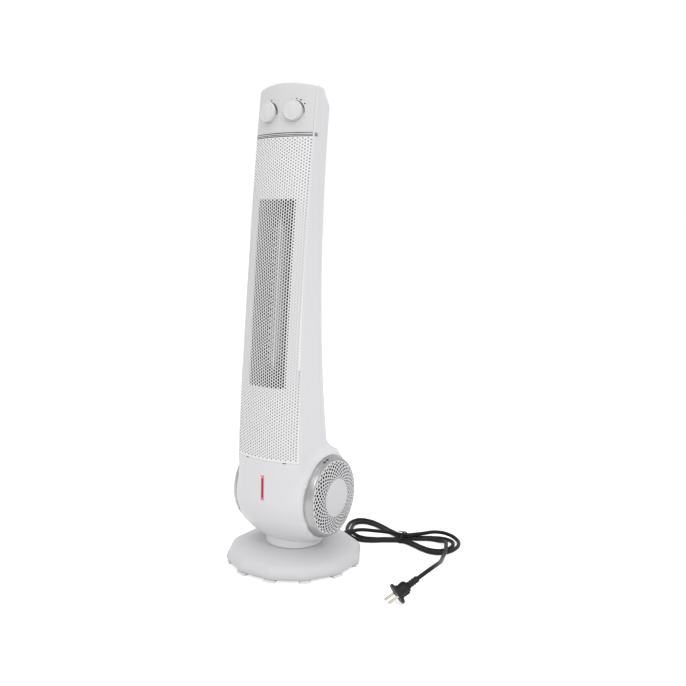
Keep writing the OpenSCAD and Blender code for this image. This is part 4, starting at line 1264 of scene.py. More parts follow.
@dataclass(frozen=True)
class TowerForm:
    """Shape of the heater's body: a leaning tower grown together with a drum."""

    top: float = 769.0
    top_half: float = 55.1
    foot_half: float = 64.8
    widening: float = 2.2
    front_top: float = 14.3
    front_foot: float = 71.5
    leaning: float = 1.58
    crown: float = 14.0
    taper: float = 8.0
    waist_y: float = 9.8
    shoulder_y: float = 33.0
    hip_step: float = 8.5
    top_flat: float = 15.0
    chamfer: float = 28.0
    waist_up: float = 271.0
    hip_up: float = 101.0
    flare: Triple = (20.0, 30.0, 48.0)
    arch: float = 7.0
    arch_high: float = 79.0
    axis_z: float = 119.0
    drum_r: float = 86.0
    drum_end_r: float = 69.0
    drum_half: float = 68.0
    front_slope: float = 0.97
    corner: float = 2.6
    low_corner: float = 30.0
    low_power: float = 1.2
    low_from: float = 190.0
    low_over: float = 72.0
    back_corner: float = 8.0
    end_corner: float = 3.0
    tuck: float = 0.015
    tuck_up: float = 11.0
    blend: tuple[float, float] = (1.0, 15.0)
    blend_over: float = 5.0
    farthest: float = 190.0
    halvings: int = 26

    def share(self, z: np.ndarray) -> np.ndarray:
        """Share of the way down from the top to the drum's axis."""
        return np.maximum(0.0, (self.top - z) / (self.top - self.axis_z))

    def half(self, z: np.ndarray) -> np.ndarray:
        """Half of the width at a height."""
        return self.top_half + (self.foot_half - self.top_half) * self.share(z) ** self.widening

    def front(self, z: np.ndarray) -> np.ndarray:
        """Depth of the front corners at a height."""
        rest = np.maximum(0.0, 1 - self.share(z)) ** self.leaning
        return -self.front_top - (self.front_foot - self.front_top) * (1 - rest)

    def face(self, x: np.ndarray, z: np.ndarray) -> np.ndarray:
        """Depth of the crowned front face."""
        return self.front(z) - self.crown * (1 - (x / self.half(z)) ** 2)

    def rear(self, z: np.ndarray) -> np.ndarray:
        """Depth of the back face.

        Args:
            z: Heights.

        Returns:
            The depths.
        """
        z, (step, over, most) = np.asarray(z, float), self.flare
        high, waist, hip = (self.top - self.chamfer, self.axis_z + self.waist_up,
                            self.axis_z + self.hip_up)
        crown = self.shoulder_y + (self.top_flat - self.shoulder_y) * (z - high) / self.chamfer
        upper = self.waist_y + (self.shoulder_y - self.waist_y) * (
            (z - waist) / (high - waist)) ** 2
        lower = self.waist_y + self.hip_step * ((waist - z) / (waist - hip)) ** 2
        flare = self.waist_y + self.hip_step + step * (np.maximum(hip - z, 0) / over) ** 3
        return np.where(z > high, crown, np.where(
            z > waist, upper, np.where(z > hip, lower, np.minimum(flare, most))))

    def drop(self, x: np.ndarray, z: np.ndarray) -> np.ndarray:
        """How far the arched top falls away to the sides."""
        rise = np.maximum(0.0, z - (self.top - self.arch_high)) / self.arch_high
        return self.arch * (x / self.half(z)) ** 2 * rise

    def drum(self, x: np.ndarray) -> np.ndarray:
        """Radius of the drum along its axis."""
        return self.drum_r - (self.drum_r - self.drum_end_r) * (x / self.drum_half) ** 2

    @staticmethod
    def _soft_max(a: np.ndarray, b: np.ndarray, reach: np.ndarray | float) -> np.ndarray:
        """Larger of two values, with a rounded change between them."""
        return np.maximum(a, b) + np.maximum(reach - np.abs(a - b), 0) ** 2 / (4 * reach)

    def depth(self, x: np.ndarray, y: np.ndarray, z: np.ndarray) -> np.ndarray:
        """Rough distance outside the surface, below zero inside.

        Args:
            x: Places across.
            y: Places back.
            z: Heights.

        Returns:
            The distances in millimetres.
        """
        half, front, rear = self.half(z), self.front(z), self.rear(z)
        ahead = (self.face(np.clip(x, -half, half), z) - y) * self.front_slope
        side = np.abs(x) - half + self.taper * np.clip((y - front) / (rear - front), 0, 1)
        behind = y - rear
        low = np.clip((self.low_from - z) / self.low_over, 0, 1)
        tower = self._soft_max(ahead, side, self.corner + self.low_corner * low**self.low_power)
        tower = self._soft_max(tower, behind, self.back_corner)
        tuck = self.tuck * np.maximum(0, self.axis_z + self.tuck_up - z) ** 2
        spoke = np.hypot(y, z - self.axis_z) + TINY
        beside = 1 / (1 + np.exp(-(side - np.maximum(ahead, behind)) / self.blend_over))
        reach = self.blend[0] + self.blend[1] * (1 - (1 - beside) * np.abs(y) / spoke)
        both = -self._soft_max(-(tower + tuck), self.drum(x) - spoke, reach)
        return self._soft_max(both, np.abs(x) - self.drum_half, self.end_corner)

    def trace(self, starts: np.ndarray, ways: np.ndarray, z: float) -> np.ndarray:
        """Finds the surface along rays in one level.

        Args:
            starts: Inner ends of the rays, in X and Y.
            ways: Directions of the rays.
            z: Height of the level.

        Returns:
            Points on the surface, in X, Y and Z.
        """
        near, far = np.zeros(len(starts)), np.full(len(starts), self.farthest)
        height = np.full(len(starts), z)
        for _ in range(self.halvings):
            mid = (near + far) / 2
            place = starts + ways * mid[:, None]
            outside = self.depth(place[:, 0], place[:, 1], height) > 0
            far, near = np.where(outside, mid, far), np.where(outside, near, mid)
        return np.column_stack([starts + ways * near[:, None], height])


@dataclass(frozen=True)
class Skin:
    """Columns and levels that carry the body's surface, with its recesses and window."""

    form: TowerForm = TowerForm()
    margin: float = 1.5
    recess: float = 1.75
    edge_recess: float = 1.2
    panel_recess: float = 1.9
    front_columns: int = 13
    counts: tuple[int, ...] = (9, 5, 7, 9, 8, 7)
    window: float = 35.3
    window_low: float = 302.0
    window_high: float = 593.0
    window_deep: float = 15.0
    grille_low: float = 186.7
    grille_high: float = 687.0
    panel_low: float = 692.7
    spans: tuple[Triple, ...] = ((42.3, 215, 2.9), (216, 690, 11.8), (696, 766, 5.0))
    top_rows: tuple[float, ...] = (767.0, 768.2, 768.8, 769.0)
    step: float = 0.06
    clear: float = 1.2
    full_z: float = 150.0
    turn_z: float = 186.0
    hub: tuple[float, float] = (0.0, -4.0)
    inside: float = 3.0
    side_inset: float = 10.0
    back_r: float = 13.0
    back_share: float = 0.35
    corner_out: float = 0.3
    top_r: float = 2.0
    least: float = 3.0
    closing: Triple = (0.7, 0.4, 0.1)

    def levels(self) -> list[float]:
        """Heights of the rows, close together where the shape turns."""
        rows = [z for span in self.spans for z in np.arange(*span)] + list(self.top_rows)
        marks = (self.grille_low, self.grille_high, self.panel_low)
        special = [m + d for m in marks for d in (0.0, self.step)]
        special += [self.window_low, self.window_high]
        rows = [z for z in rows if min(abs(z - s) for s in special) > self.clear]
        return sorted(rows + special)

    def columns(self, z: float) -> tuple[np.ndarray, np.ndarray]:
        """Rays of the right half of a level, from the front's middle to the back's middle.

        Args:
            z: Height of the level.

        Returns:
            Starts and directions of the rays.
        """
        form, rays = self.form, []
        over_window, to_edge, round_front, along_side, round_back, along_back = self.counts
        half, front, rear = (float(v) for v in (form.half(z), form.front(z), form.rear(z)))
        edge, start = half - self.margin, front + self.inside
        for x in [*np.linspace(0, self.window, over_window),
                  *np.linspace(self.window, edge, to_edge)[1:], edge]:
            rays.append((x, start, 0.0, -1.0))
        for a in np.radians(np.linspace(-90, 0, round_front)):
            rays.append((edge + self.corner_out, start, math.cos(a), math.sin(a)))
        back = half - form.taper - self.side_inset
        last = rear - min(self.back_r, self.back_share * (rear - front))
        for y in np.linspace(start, last, along_side)[1:-1]:
            rays.append((back, y, 1.0, 0.0))
        for a in np.radians(np.linspace(0, 90, round_back)):
            rays.append((back - self.inside, last, math.cos(a), math.sin(a)))
        for x in np.linspace(back - self.inside, 0, along_back)[1:]:
            rays.append((x, (front + rear) / 2, 0.0, 1.0))
        return np.array(rays)[:, :2], np.array(rays)[:, 2:]

    def row(self, z: float) -> np.ndarray:
        """Points of one level on the right half, seen from the drum's hub lower down.

        Args:
            z: Height of the level.

        Returns:
            The points.
        """
        if z >= self.turn_z:
            return self.form.trace(*self.columns(z), z)
        hub = np.array(self.hub)
        starts, ways = self.columns(self.turn_z)
        seen = self.form.trace(starts, ways, self.turn_z)[:, :2] - hub
        seen /= np.linalg.norm(seen, axis=1)[:, None]
        keep = ease((z - self.full_z) / (self.turn_z - self.full_z))
        ways = ways * keep + seen * (1 - keep)
        ways /= np.linalg.norm(ways, axis=1)[:, None]
        return self.form.trace(hub + (starts - hub) * keep, ways, z)

    def _round_top(self, line: np.ndarray, z: float) -> None:
        """Draws a level in where the top's edge is rounded.

        Args:
            line: Points of the level, changed in place.
            z: Height of the level.
        """
        above, r = z - (self.form.top - self.top_r), self.top_r
        if above > 0:
            inset = r - math.sqrt(max(0.0, r * r - above**2))
            middle = np.array([0.0, (line[0, 1] + line[-1, 1]) / 2])
            away = line[:, :2] - middle
            far = np.maximum(np.linalg.norm(away, axis=1), self.least)
            line[:, :2] = middle + away * (1 - inset / far)[:, None]

    def rows(self) -> list[np.ndarray]:
        """Rows all round the body, with the recesses let in.

        Returns:
            The points of each row.
        """
        rows, front = [], self.front_columns
        for z in self.levels():
            line = self.row(z)
            if self.grille_low < z < self.grille_high + self.step / 2:
                line[:front, 1] += self.recess
                line[front - 1, 1] += self.edge_recess
            if z > self.panel_low:
                line[:front, 1] += self.panel_recess
            self._round_top(line, z)
            line[:, 2] -= self.form.drop(line[:, 0], np.full(len(line), z))
            rows.append(np.vstack([line, line[1:-1][::-1] * (-1, 1, 1)]))
        return rows

    def _in_window(self, centre: np.ndarray) -> bool:
        """Looks whether a face lies in the window of the front.

        Args:
            centre: Middle of the face.

        Returns:
            Whether it does.
        """
        x, y, z = centre
        return (abs(x) < self.window and self.window_low < z < self.window_high
                and y < self.form.rear(z) - self.window_deep)

    def shell(self) -> Form:
        """The whole outer surface with its top, before it is parted.

        Returns:
            The surface, open at the window.
        """
        rows = self.rows()
        last = rows[-1]
        middle = (last[:, 1].max() + last[:, 1].min()) / 2
        for share in self.closing:
            rows.append(last * (1, share, 1) + (0, middle * (1 - share), 0))
        form = Form().grid(rows, closed=True).close(len(last))
        form.faces = [face for face in form.faces
                      if not self._in_window(np.mean([form.points[i] for i in face], axis=0))]
        LOG.info("skin: %d faces", len(form.faces))
        return form


@dataclass(frozen=True)
class TowerShells:
    """Front and rear shell, parted by a fine seam."""

    skin: Skin = Skin()
    seam: float = -3.9
    gap: float = 0.25
    wall: float = 0.65
    drum_hole: float = 64.0
    drum_out: float = 90.0
    slots: tuple[tuple[float, float, float, float], ...] = (
        (0.0, 142.5, 3.05, 19.8), (38.0, 186.3, 3.0, 0.75), (-34.0, 186.3, 3.0, 0.75))
    slot_deep: tuple[float, float] = (-110.0, -60.0)
    screws: tuple[tuple[float, float], ...] = ((40, 649), (-40, 649), (46.7, 256), (-46.7, 256))
    screw_hole: float = 3.8
    screw_deep: tuple[float, float] = (-2.0, 60.0)
    frame_wall: float = 1.6
    frame_clear: float = 0.2
    frame_back: float = -52.8
    frame_lean: float = 0.094
    frame_steps: int = 24

    def _half(self, ahead: bool) -> Form:
        """Part of the skin on one side of the seam.

        Args:
            ahead: Whether it is the front part.

        Returns:
            The part.
        """
        whole = self.skin.shell()
        tool = bmesh.new()
        points = [tool.verts.new(p) for p in whole.points]
        for face in whole.faces:
            tool.faces.new([points[i] for i in face])
        place = self.seam + (-self.gap if ahead else self.gap) / 2
        bmesh.ops.bisect_plane(
            tool, geom=[*tool.verts, *tool.edges, *tool.faces], plane_co=(0, place, 0),
            plane_no=(0, 1, 0), clear_outer=ahead, clear_inner=not ahead)
        tool.verts.index_update()
        part = Form([tuple(v.co) for v in tool.verts],
                    [tuple(v.index for v in f.verts) for f in tool.faces])
        tool.free()
        return part

    def _cutter(self, ahead: bool) -> Form:
        """Openings of a shell: drum ends, slots in front, screw wells behind.

        Args:
            ahead: Whether it is for the front part.

        Returns:
            The cutting shape.
        """
        side_on = (Matrix.Translation((0, 0, self.skin.form.axis_z))
                   @ Matrix.Rotation(QUARTER, 4, "Y"))
        form = Form().prism([ring(self.drum_hole, x, circle(steps=96))
                             for x in (-self.drum_out, self.drum_out)]).moved(side_on)
        if ahead:
            for x, z, wide, tall in self.slots:
                form.prism([np.array([(x - wide, y, z - tall), (x + wide, y, z - tall),
                                      (x + wide, y, z + tall), (x - wide, y, z + tall)])
                            for y in self.slot_deep])
        else:
            well = ring(self.screw_hole, 0.0, circle(steps=32))[:, [0, 2, 1]]
            for x, z in self.screws:
                form.prism([well + (x, y, z) for y in self.screw_deep])
        return form

    def window_frame(self) -> None:
        """Walls from the window's rim back to the heater."""
        skin, steps = self.skin, self.frame_steps
        w, low, high = skin.window, skin.window_low, skin.window_high
        rim = np.array([(-w, low), (w, low), (w, high), (-w, high)])
        x, z = np.vstack([a + (b - a) * np.linspace(0, 1, steps, endpoint=False)[:, None]
                          for a, b in zip(rim, np.roll(rim, -1, 0))]).T
        y = skin.form.face(x, z) + skin.recess + self.frame_clear
        back = self.frame_back + (z - (low + high) / 2) * self.frame_lean
        wall = self.frame_wall * np.sign(x)
        rows = [np.column_stack([x + out, deep, z])
                for out, deep in ((0, y), (0, back), (wall, back), (wall, y), (0, y))]
        Piece("window_walls", Form().grid(rows, closed=True), BLACK, Body.COLUMN,
              "inner_black").make()

    def build(self) -> None:
        """Makes both shells and the walls of the window."""
        for name, node, ahead in (("front_housing", "front_shell", True),
                                  ("rear_housing", "rear_shell", False)):
            Piece(name, self._half(ahead), WHITE, Body.COLUMN, "shell_white", (node,), crease=28.0,
                  thickness=self.wall, cutter=self._cutter(ahead), wound=True).make()
        self.window_frame()


@dataclass(frozen=True)
class FrontGrille:
    """Perforated sheet over the whole front, with its holes in upright rows."""

    skin: Skin = Skin()
    low: float = 187.0
    high: float = 686.7
    margin: float = 1.65
    across: float = 3.98
    along: float = 4.78
    columns: int = 16
    outline: Profile = ((0.5, 0.87), (1, 0), (0.5, -0.87), (-0.5, -0.87), (-1, 0), (-0.5, 0.87))
    hole: float = 1.5
    window_hole: float = 1.93
    stretch: float = 1.1
    rim: float = 0.3
    low_rim: float = 1.6
    high_rim: float = 0.9
    least: float = 0.05
    ahead: float = 0.1
    thick: float = 0.6

    def _edge(self, z: np.ndarray) -> np.ndarray:
        """Half of the sheet's width at a height."""
        return self.skin.form.half(z) - self.margin

    def _laid(self, flat: np.ndarray) -> np.ndarray:
        """Points of the sheet's surface, from places across and heights."""
        x, z = flat.T
        return np.column_stack([x, self.skin.form.face(x, z) + self.ahead, z])

    def _hole(self, x: float, z: float) -> np.ndarray | None:
        """Outline of the hole at a place, wider and taller over the window.

        Args:
            x: Place across.
            z: Height.

        Returns:
            The outline, or None where there is no room for a hole.
        """
        skin, r = self.skin, self.hole
        if not (self._edge(z) - abs(x) > r + self.rim
                and self.low + self.low_rim < z - r and z + r < self.high - self.high_rim):
            return None
        outline = np.array(self.outline)
        if abs(x) < skin.window and skin.window_low < z < skin.window_high:
            return outline * (1.0, self.stretch) * self.window_hole + (x, z)
        return outline * r + (x, z)

    def sheet(self) -> Form:
        """The sheet with a hole in every cell that has room for one.

        Returns:
            The sheet's front.
        """
        form, a, b = Form(), self.across / 2, self.along / 2
        border = np.array([(a, b), (a, 0), (a, -b), (-a, -b), (-a, 0), (-a, b)])
        for i in range(-self.columns, self.columns + 1):
            for j in range(math.ceil((self.high - self.low) / self.along + (1 - i % 2) / 2)):
                x, z = i * self.across, self.low + (j + i % 2 / 2) * self.along
                cell = border + (x, z)
                cell[:, 1] = np.clip(cell[:, 1], self.low, self.high)
                edge = self._edge(cell[:, 1])
                cell[:, 0] = np.clip(cell[:, 0], -edge, edge)
                if np.ptp(cell[:, 0]) < self.least:
                    continue
                hole = self._hole(x, z)
                if hole is None:
                    form.fan(self._laid(cell))
                else:
                    form.grid([self._laid(cell), self._laid(hole)], closed=True)
        return form

    def build(self) -> None:
        """Makes the sheet."""
        Piece("front_sheet", self.sheet(), GRILLE, Body.COLUMN, "grille_white", ("front_grille",),
              crease=30.0, weld=0.02, thickness=self.thick).make()


@dataclass(frozen=True)
class DialPlace:
    """Where the two dials stand on the crowned panel."""

    form: TowerForm = TowerForm()
    x: float = 23.0
    y: float = -31.8594
    z: float = 725.0
    turn: float = 9.0
    lean: float = 7.646

    def frame(self, side: Side) -> Matrix:
        """Place of one dial, its own Z pointing out of the panel."""
        return (Matrix.Translation((side.value * self.x, self.y, self.z))
                @ Matrix.Rotation(math.radians(side.value * self.turn), 4, "Z")
                @ Matrix.Rotation(math.radians(90 - self.lean), 4, "X"))

    def spot(self, side: Side, radius: float, a: np.ndarray) -> tuple[np.ndarray, np.ndarray]:
        """Places across and heights round a dial.

        Args:
            side: Which dial.
            radius: Distance from the dial's axis.
            a: Angles, clockwise from the top.

        Returns:
            The places and the heights.
        """
        return side.value * self.x + radius * np.sin(a), self.z + radius * np.cos(a)

    def around(self, side: Side, section: Iterable[tuple[float, np.ndarray | float]],
               a: np.ndarray) -> list[np.ndarray]:
        """Edges that run round a dial on the panel.

        Args:
            side: Which dial.
            section: Distance from the dial's axis and height over the panel of each edge.
            a: Angles, clockwise from the top.

        Returns:
            The points of each edge.
        """
        spots = [(*self.spot(side, radius, a), out) for radius, out in section]
        return [np.column_stack([x, self.form.face(x, z) - out, z]) for x, z, out in spots]


@dataclass(frozen=True)
class ControlPanel:
    """Panel over the grille: crowned face, silver strip, marks round the dials."""

    form: TowerForm = TowerForm()
    dials: DialPlace = DialPlace()
    low: float = 693.2
    under_top: float = 0.05
    thick: float = 1.6
    draft: float = 0.996
    edge: float = 0.5
    levels: int = 18
    columns: int = 41
    margin: float = 1.9
    strip_low: float = 687.1
    strip_high: float = 692.9
    strip_soft: float = 0.3
    band_section: Triple = (-1.2, 0.1, 0.35)
    end_section: Triple = (-1.0, 0.15, 0.4)
    wrap: tuple[float, float] = (2.2, 11.5)
    wrap_steps: int = 25
    rib: float = 0.5
    rib_steps: int = 3
    beads: tuple[tuple[str, float, float], ...] = (
        ("trim_bead_upper", 4.0, 0.75), ("trim_bead_lower", 1.6, 0.45))
    bead: Profile = ((-1.0, 0.2), (-0.8, 0.55), (-0.3, 0.7), (0.3, 0.7), (0.8, 0.55), (1.0, 0.2))
    marks_r: float = 19.2
    marks_off: tuple[float, float] = (-0.1, 0.05)
    marks_at: tuple[tuple[Side, float, float, float], ...] = (
        (Side.LEFT, 4.0, 2.0, 1.6), (Side.RIGHT, -15.0, 1.2, 1.0), (Side.RIGHT, 8.0, 1.9, 1.0),
        (Side.RIGHT, 29.0, 2.4, 1.0), (Side.RIGHT, 55.0, 2.2, 1.0))

    def face(self) -> None:
        """Crowned panel with softened edges."""
        shape, across, outer, inner = self.form, np.linspace(-1, 1, self.columns), [], []
        for z in np.linspace(self.low, shape.top - self.under_top, self.levels):
            x = across * (shape.half(z) - self.margin)
            y, up = shape.face(x, z), z - shape.drop(x, z)
            outer.append(np.column_stack([x, y, up]))
            inner.append(np.column_stack([x * self.draft, y + self.thick, up]))
        form, walls = Form(), np.array([outer, inner])
        for rows in (*walls, walls[:, 0], walls[:, -1], walls[:, :, 0], walls[:, :, -1]):
            form.grid(rows)
        Piece("panel_face", form, PANEL, Body.COLUMN, "panel_white", ("control_panel",),
              crease=30.0, bevel=self.edge).make()

    def _section(self, back: float, edge: float, out: float) -> Profile:
        """Section of the strip.

        Args:
            back: Outward offset of the back.
            edge: Outward offset of the edges.
            out: Outward offset of the face.

        Returns:
            Height and outward offset of each edge.
        """
        low, high, soft = self.strip_low, self.strip_high, self.strip_soft
        return ((low, back), (low, edge), (low + soft, out), (high - soft, out), (high, edge),
                (high, back))

    def _across(self, section: Profile) -> Form:
        """Strip across the front, from corner to corner.

        Args:
            section: Height and outward offset of each edge.

        Returns:
            The strip.
        """
        rows = []
        for z, out in section:
            x = np.linspace(-1, 1, self.columns) * (self.form.half(z) - self.margin)
            rows.append(np.column_stack([x, self.form.face(x, z) - out, np.full(len(x), z)]))
        return Form().bar(rows)

    def _return(self, side: Side) -> Form:
        """Ribbed end of the strip on one side of the tower.

        Args:
            side: Side of the tower.

        Returns:
            The end piece.
        """
        shape, rows, steps = self.form, [], np.arange(self.wrap_steps)
        ribs = np.where(steps % (2 * self.rib_steps) < self.rib_steps, 0.0, -self.rib)
        for z, out in self._section(*self.end_section):
            half, front = float(shape.half(z)), float(shape.front(z))
            y = np.linspace(front + self.wrap[0], front + self.wrap[1], self.wrap_steps)
            lean = shape.taper * (y - front) / (float(shape.rear(z)) - front)
            x = half - lean + out + ribs * (out > 0)
            rows.append(np.column_stack([side.value * x, y, np.full(len(y), z)]))
        return Form().bar(rows)

    def strip(self) -> None:
        """Dark band with two beads in a far brighter silver as painted highlights, and its ribbed
        ends on the sides.
        """
        band = self._across(self._section(*self.band_section))
        parts = [Piece("trim_band", band, BAND, Body.COLUMN, "ring_silver")]
        for name, up, half in self.beads:
            bead = [(self.strip_low + up + half * share, out) for share, out in self.bead]
            parts.append(Piece(name, self._across(bead), BEAD_HIGHLIGHT, Body.COLUMN, "ring_silver",
                               crease=50.0))
        for side in Side:
            parts.append(Piece(f"trim_end_{side.word}", self._return(side), BAND, Body.COLUMN,
                               "ring_silver"))
        for part in parts:
            part.replaces = ("trim_strip",)
            part.make()

    def marks(self) -> None:
        """Small printed marks round the dials."""
        form, turn = Form(), circle(steps=16)
        for side, angle, size, long in self.marks_at:
            a = math.radians(angle)
            x, z = self.dials.spot(side, self.marks_r, a)
            u, v = size / 2 * np.cos(turn), size / 2 * long * np.sin(turn)
            x, z = x + u * math.cos(a) + v * math.sin(a), z - u * math.sin(a) + v * math.cos(a)
            y = self.form.face(x, z)
            rows = [np.column_stack([x, y - out, z]) for out in self.marks_off]
            form.grid(rows, closed=True).fan(rows[1])
        Piece("dial_marks", form, INK, Body.COLUMN, "inner_black").make()

    def build(self) -> None:
        """Makes the panel, its strip and its marks."""
        self.face()
        self.strip()
        self.marks()


@dataclass(frozen=True)
class Dial:
    """Control dial with a grip bar, and the shallow seat it turns in."""

    side: Side
    body: Body
    node: str
    # Greatest height of the painted shade crescent.
    painted_shade_high: float
    at: DialPlace = DialPlace()
    radius: float = 15.5
    high: float = 8.2
    edge: Profile = ((-0.4, -1.6), (-0.9, -0.3), (-1.8, 0.0), (-2.6, -0.3), (-3.6, -0.15))
    lower_edge: Profile = ((-0.3, 0.0), (0.0, 0.4))
    dish: float = 0.3
    foot: float = 0.3
    skirt: float = 3.6
    skirt_in: float = 0.7
    skirt_edge: float = 0.4
    skirt_hidden: float = 0.2
    bar: float = 0.6
    bar_steps: int = 8
    bar_points: int = 48
    bar_wide: float = 6.4
    bar_short: float = 3.6
    bar_draw: tuple[float, float] = (1.3, 1.5)
    bar_round: tuple[float, float] = (0.7, 0.6)
    soft: float = 0.7
    # Radii, angles, least height, sinking, power and steps of the painted shade crescent.
    painted_shade_r: Profile = ((16.0, 0.0), (16.0, 1.0), (16.5, 1.0), (16.6, 0.0))
    painted_shade_angles: tuple[float, float] = (-6.0, 106.0)
    painted_shade_least: float = 0.5
    painted_shade_sunk: float = 0.1
    painted_shade_power: float = 0.7
    painted_shade_steps: int = 25
    seat_r: Profile = (
        (16.2, -0.15), (16.3, 0.3), (16.7, 0.45), (17.3, 0.4), (17.9, 0.0), (18.0, -0.15))

    def _make(self, name: str, form: Form) -> None:
        """Makes a piece that turns with the dial.

        Args:
            name: First part of its name.
            form: Its shape about the dial's axis.
        """
        Piece(f"{name}_{self.side.word}", form.moved(self.at.frame(self.side)), DIAL, self.body,
              "shell_white", (self.node,), crease=35.0).make()

    def knob(self) -> None:
        """Tapered dial with a dished face and a rounded bar."""
        r, h, low = self.radius, self.high, self.skirt
        profile = [(0.0, low), *((r + out, low + up) for out, up in self.lower_edge),
                   *((r + out, h + up) for out, up in self.edge), (0.0, h - self.dish)]
        form = Form().lathe(rounded(profile, self.soft, steps=3))
        turn = circle(self.bar_points)
        x, y = (np.sign(v) * np.abs(v) ** power
                for v, power in zip((np.cos(turn), np.sin(turn)), self.bar_round))
        rows = []
        for slope in np.linspace(0, 1, self.bar_steps + 1):
            z = h - self.bar + 2 * self.bar * math.sin(slope * QUARTER)
            wide = self.bar_wide - self.bar_short * slope ** self.bar_draw[0]
            half = r - self.bar_short * (1 + slope ** self.bar_draw[1])
            rows.append(np.column_stack([wide * x, half * y, np.full(len(turn), z)]))
        self._make("dial", form.grid(rows, closed=True).fan(rows[-1]))

    def band(self) -> None:
        """Drawn-in skirt under the dial's face."""
        r, low, top = self.radius - self.skirt_in, self.foot, self.skirt + self.skirt_hidden
        edge = [(r - self.skirt_edge, low), (r, low + self.skirt_edge)]
        self._make("dial_skirt", Form().lathe([(0.0, low), *edge, (r, top), (0.0, top)]))

    # Painted shade: a dark crescent where shade falls on the upper right of the dial.
    def scale(self) -> None:
        """Painted shade: dark crescent round the upper right of the dial, tallest at its middle.
        """
        share = np.linspace(0, 1, self.painted_shade_steps)
        a = np.radians(np.linspace(*self.painted_shade_angles, self.painted_shade_steps))
        rise = self.painted_shade_least + self.painted_shade_high * np.sin(math.pi * share) ** self.painted_shade_power
        rows = self.at.around(
            self.side, [(r, lift * rise - self.painted_shade_sunk) for r, lift in self.painted_shade_r], a)
        Piece(f"dial_scale_{self.side.word}", Form().bar(rows), BAND, Body.COLUMN,
              "inner_black").make()

    def seat(self) -> None:
        """Thin ring on the panel round the dial."""
        section = (*self.seat_r, self.seat_r[0])
        rows = self.at.around(self.side, section, QUARTER - circle(steps=96))
        Piece(f"dial_seat_{self.side.word}", Form().grid(rows, closed=True), PANEL, Body.COLUMN,
              "panel_white").make()

    def build(self) -> None:
        """Makes the dial, its skirt, its painted shade crescent and its seat."""
        self.knob()
        self.band()
        self.scale()
        self.seat()


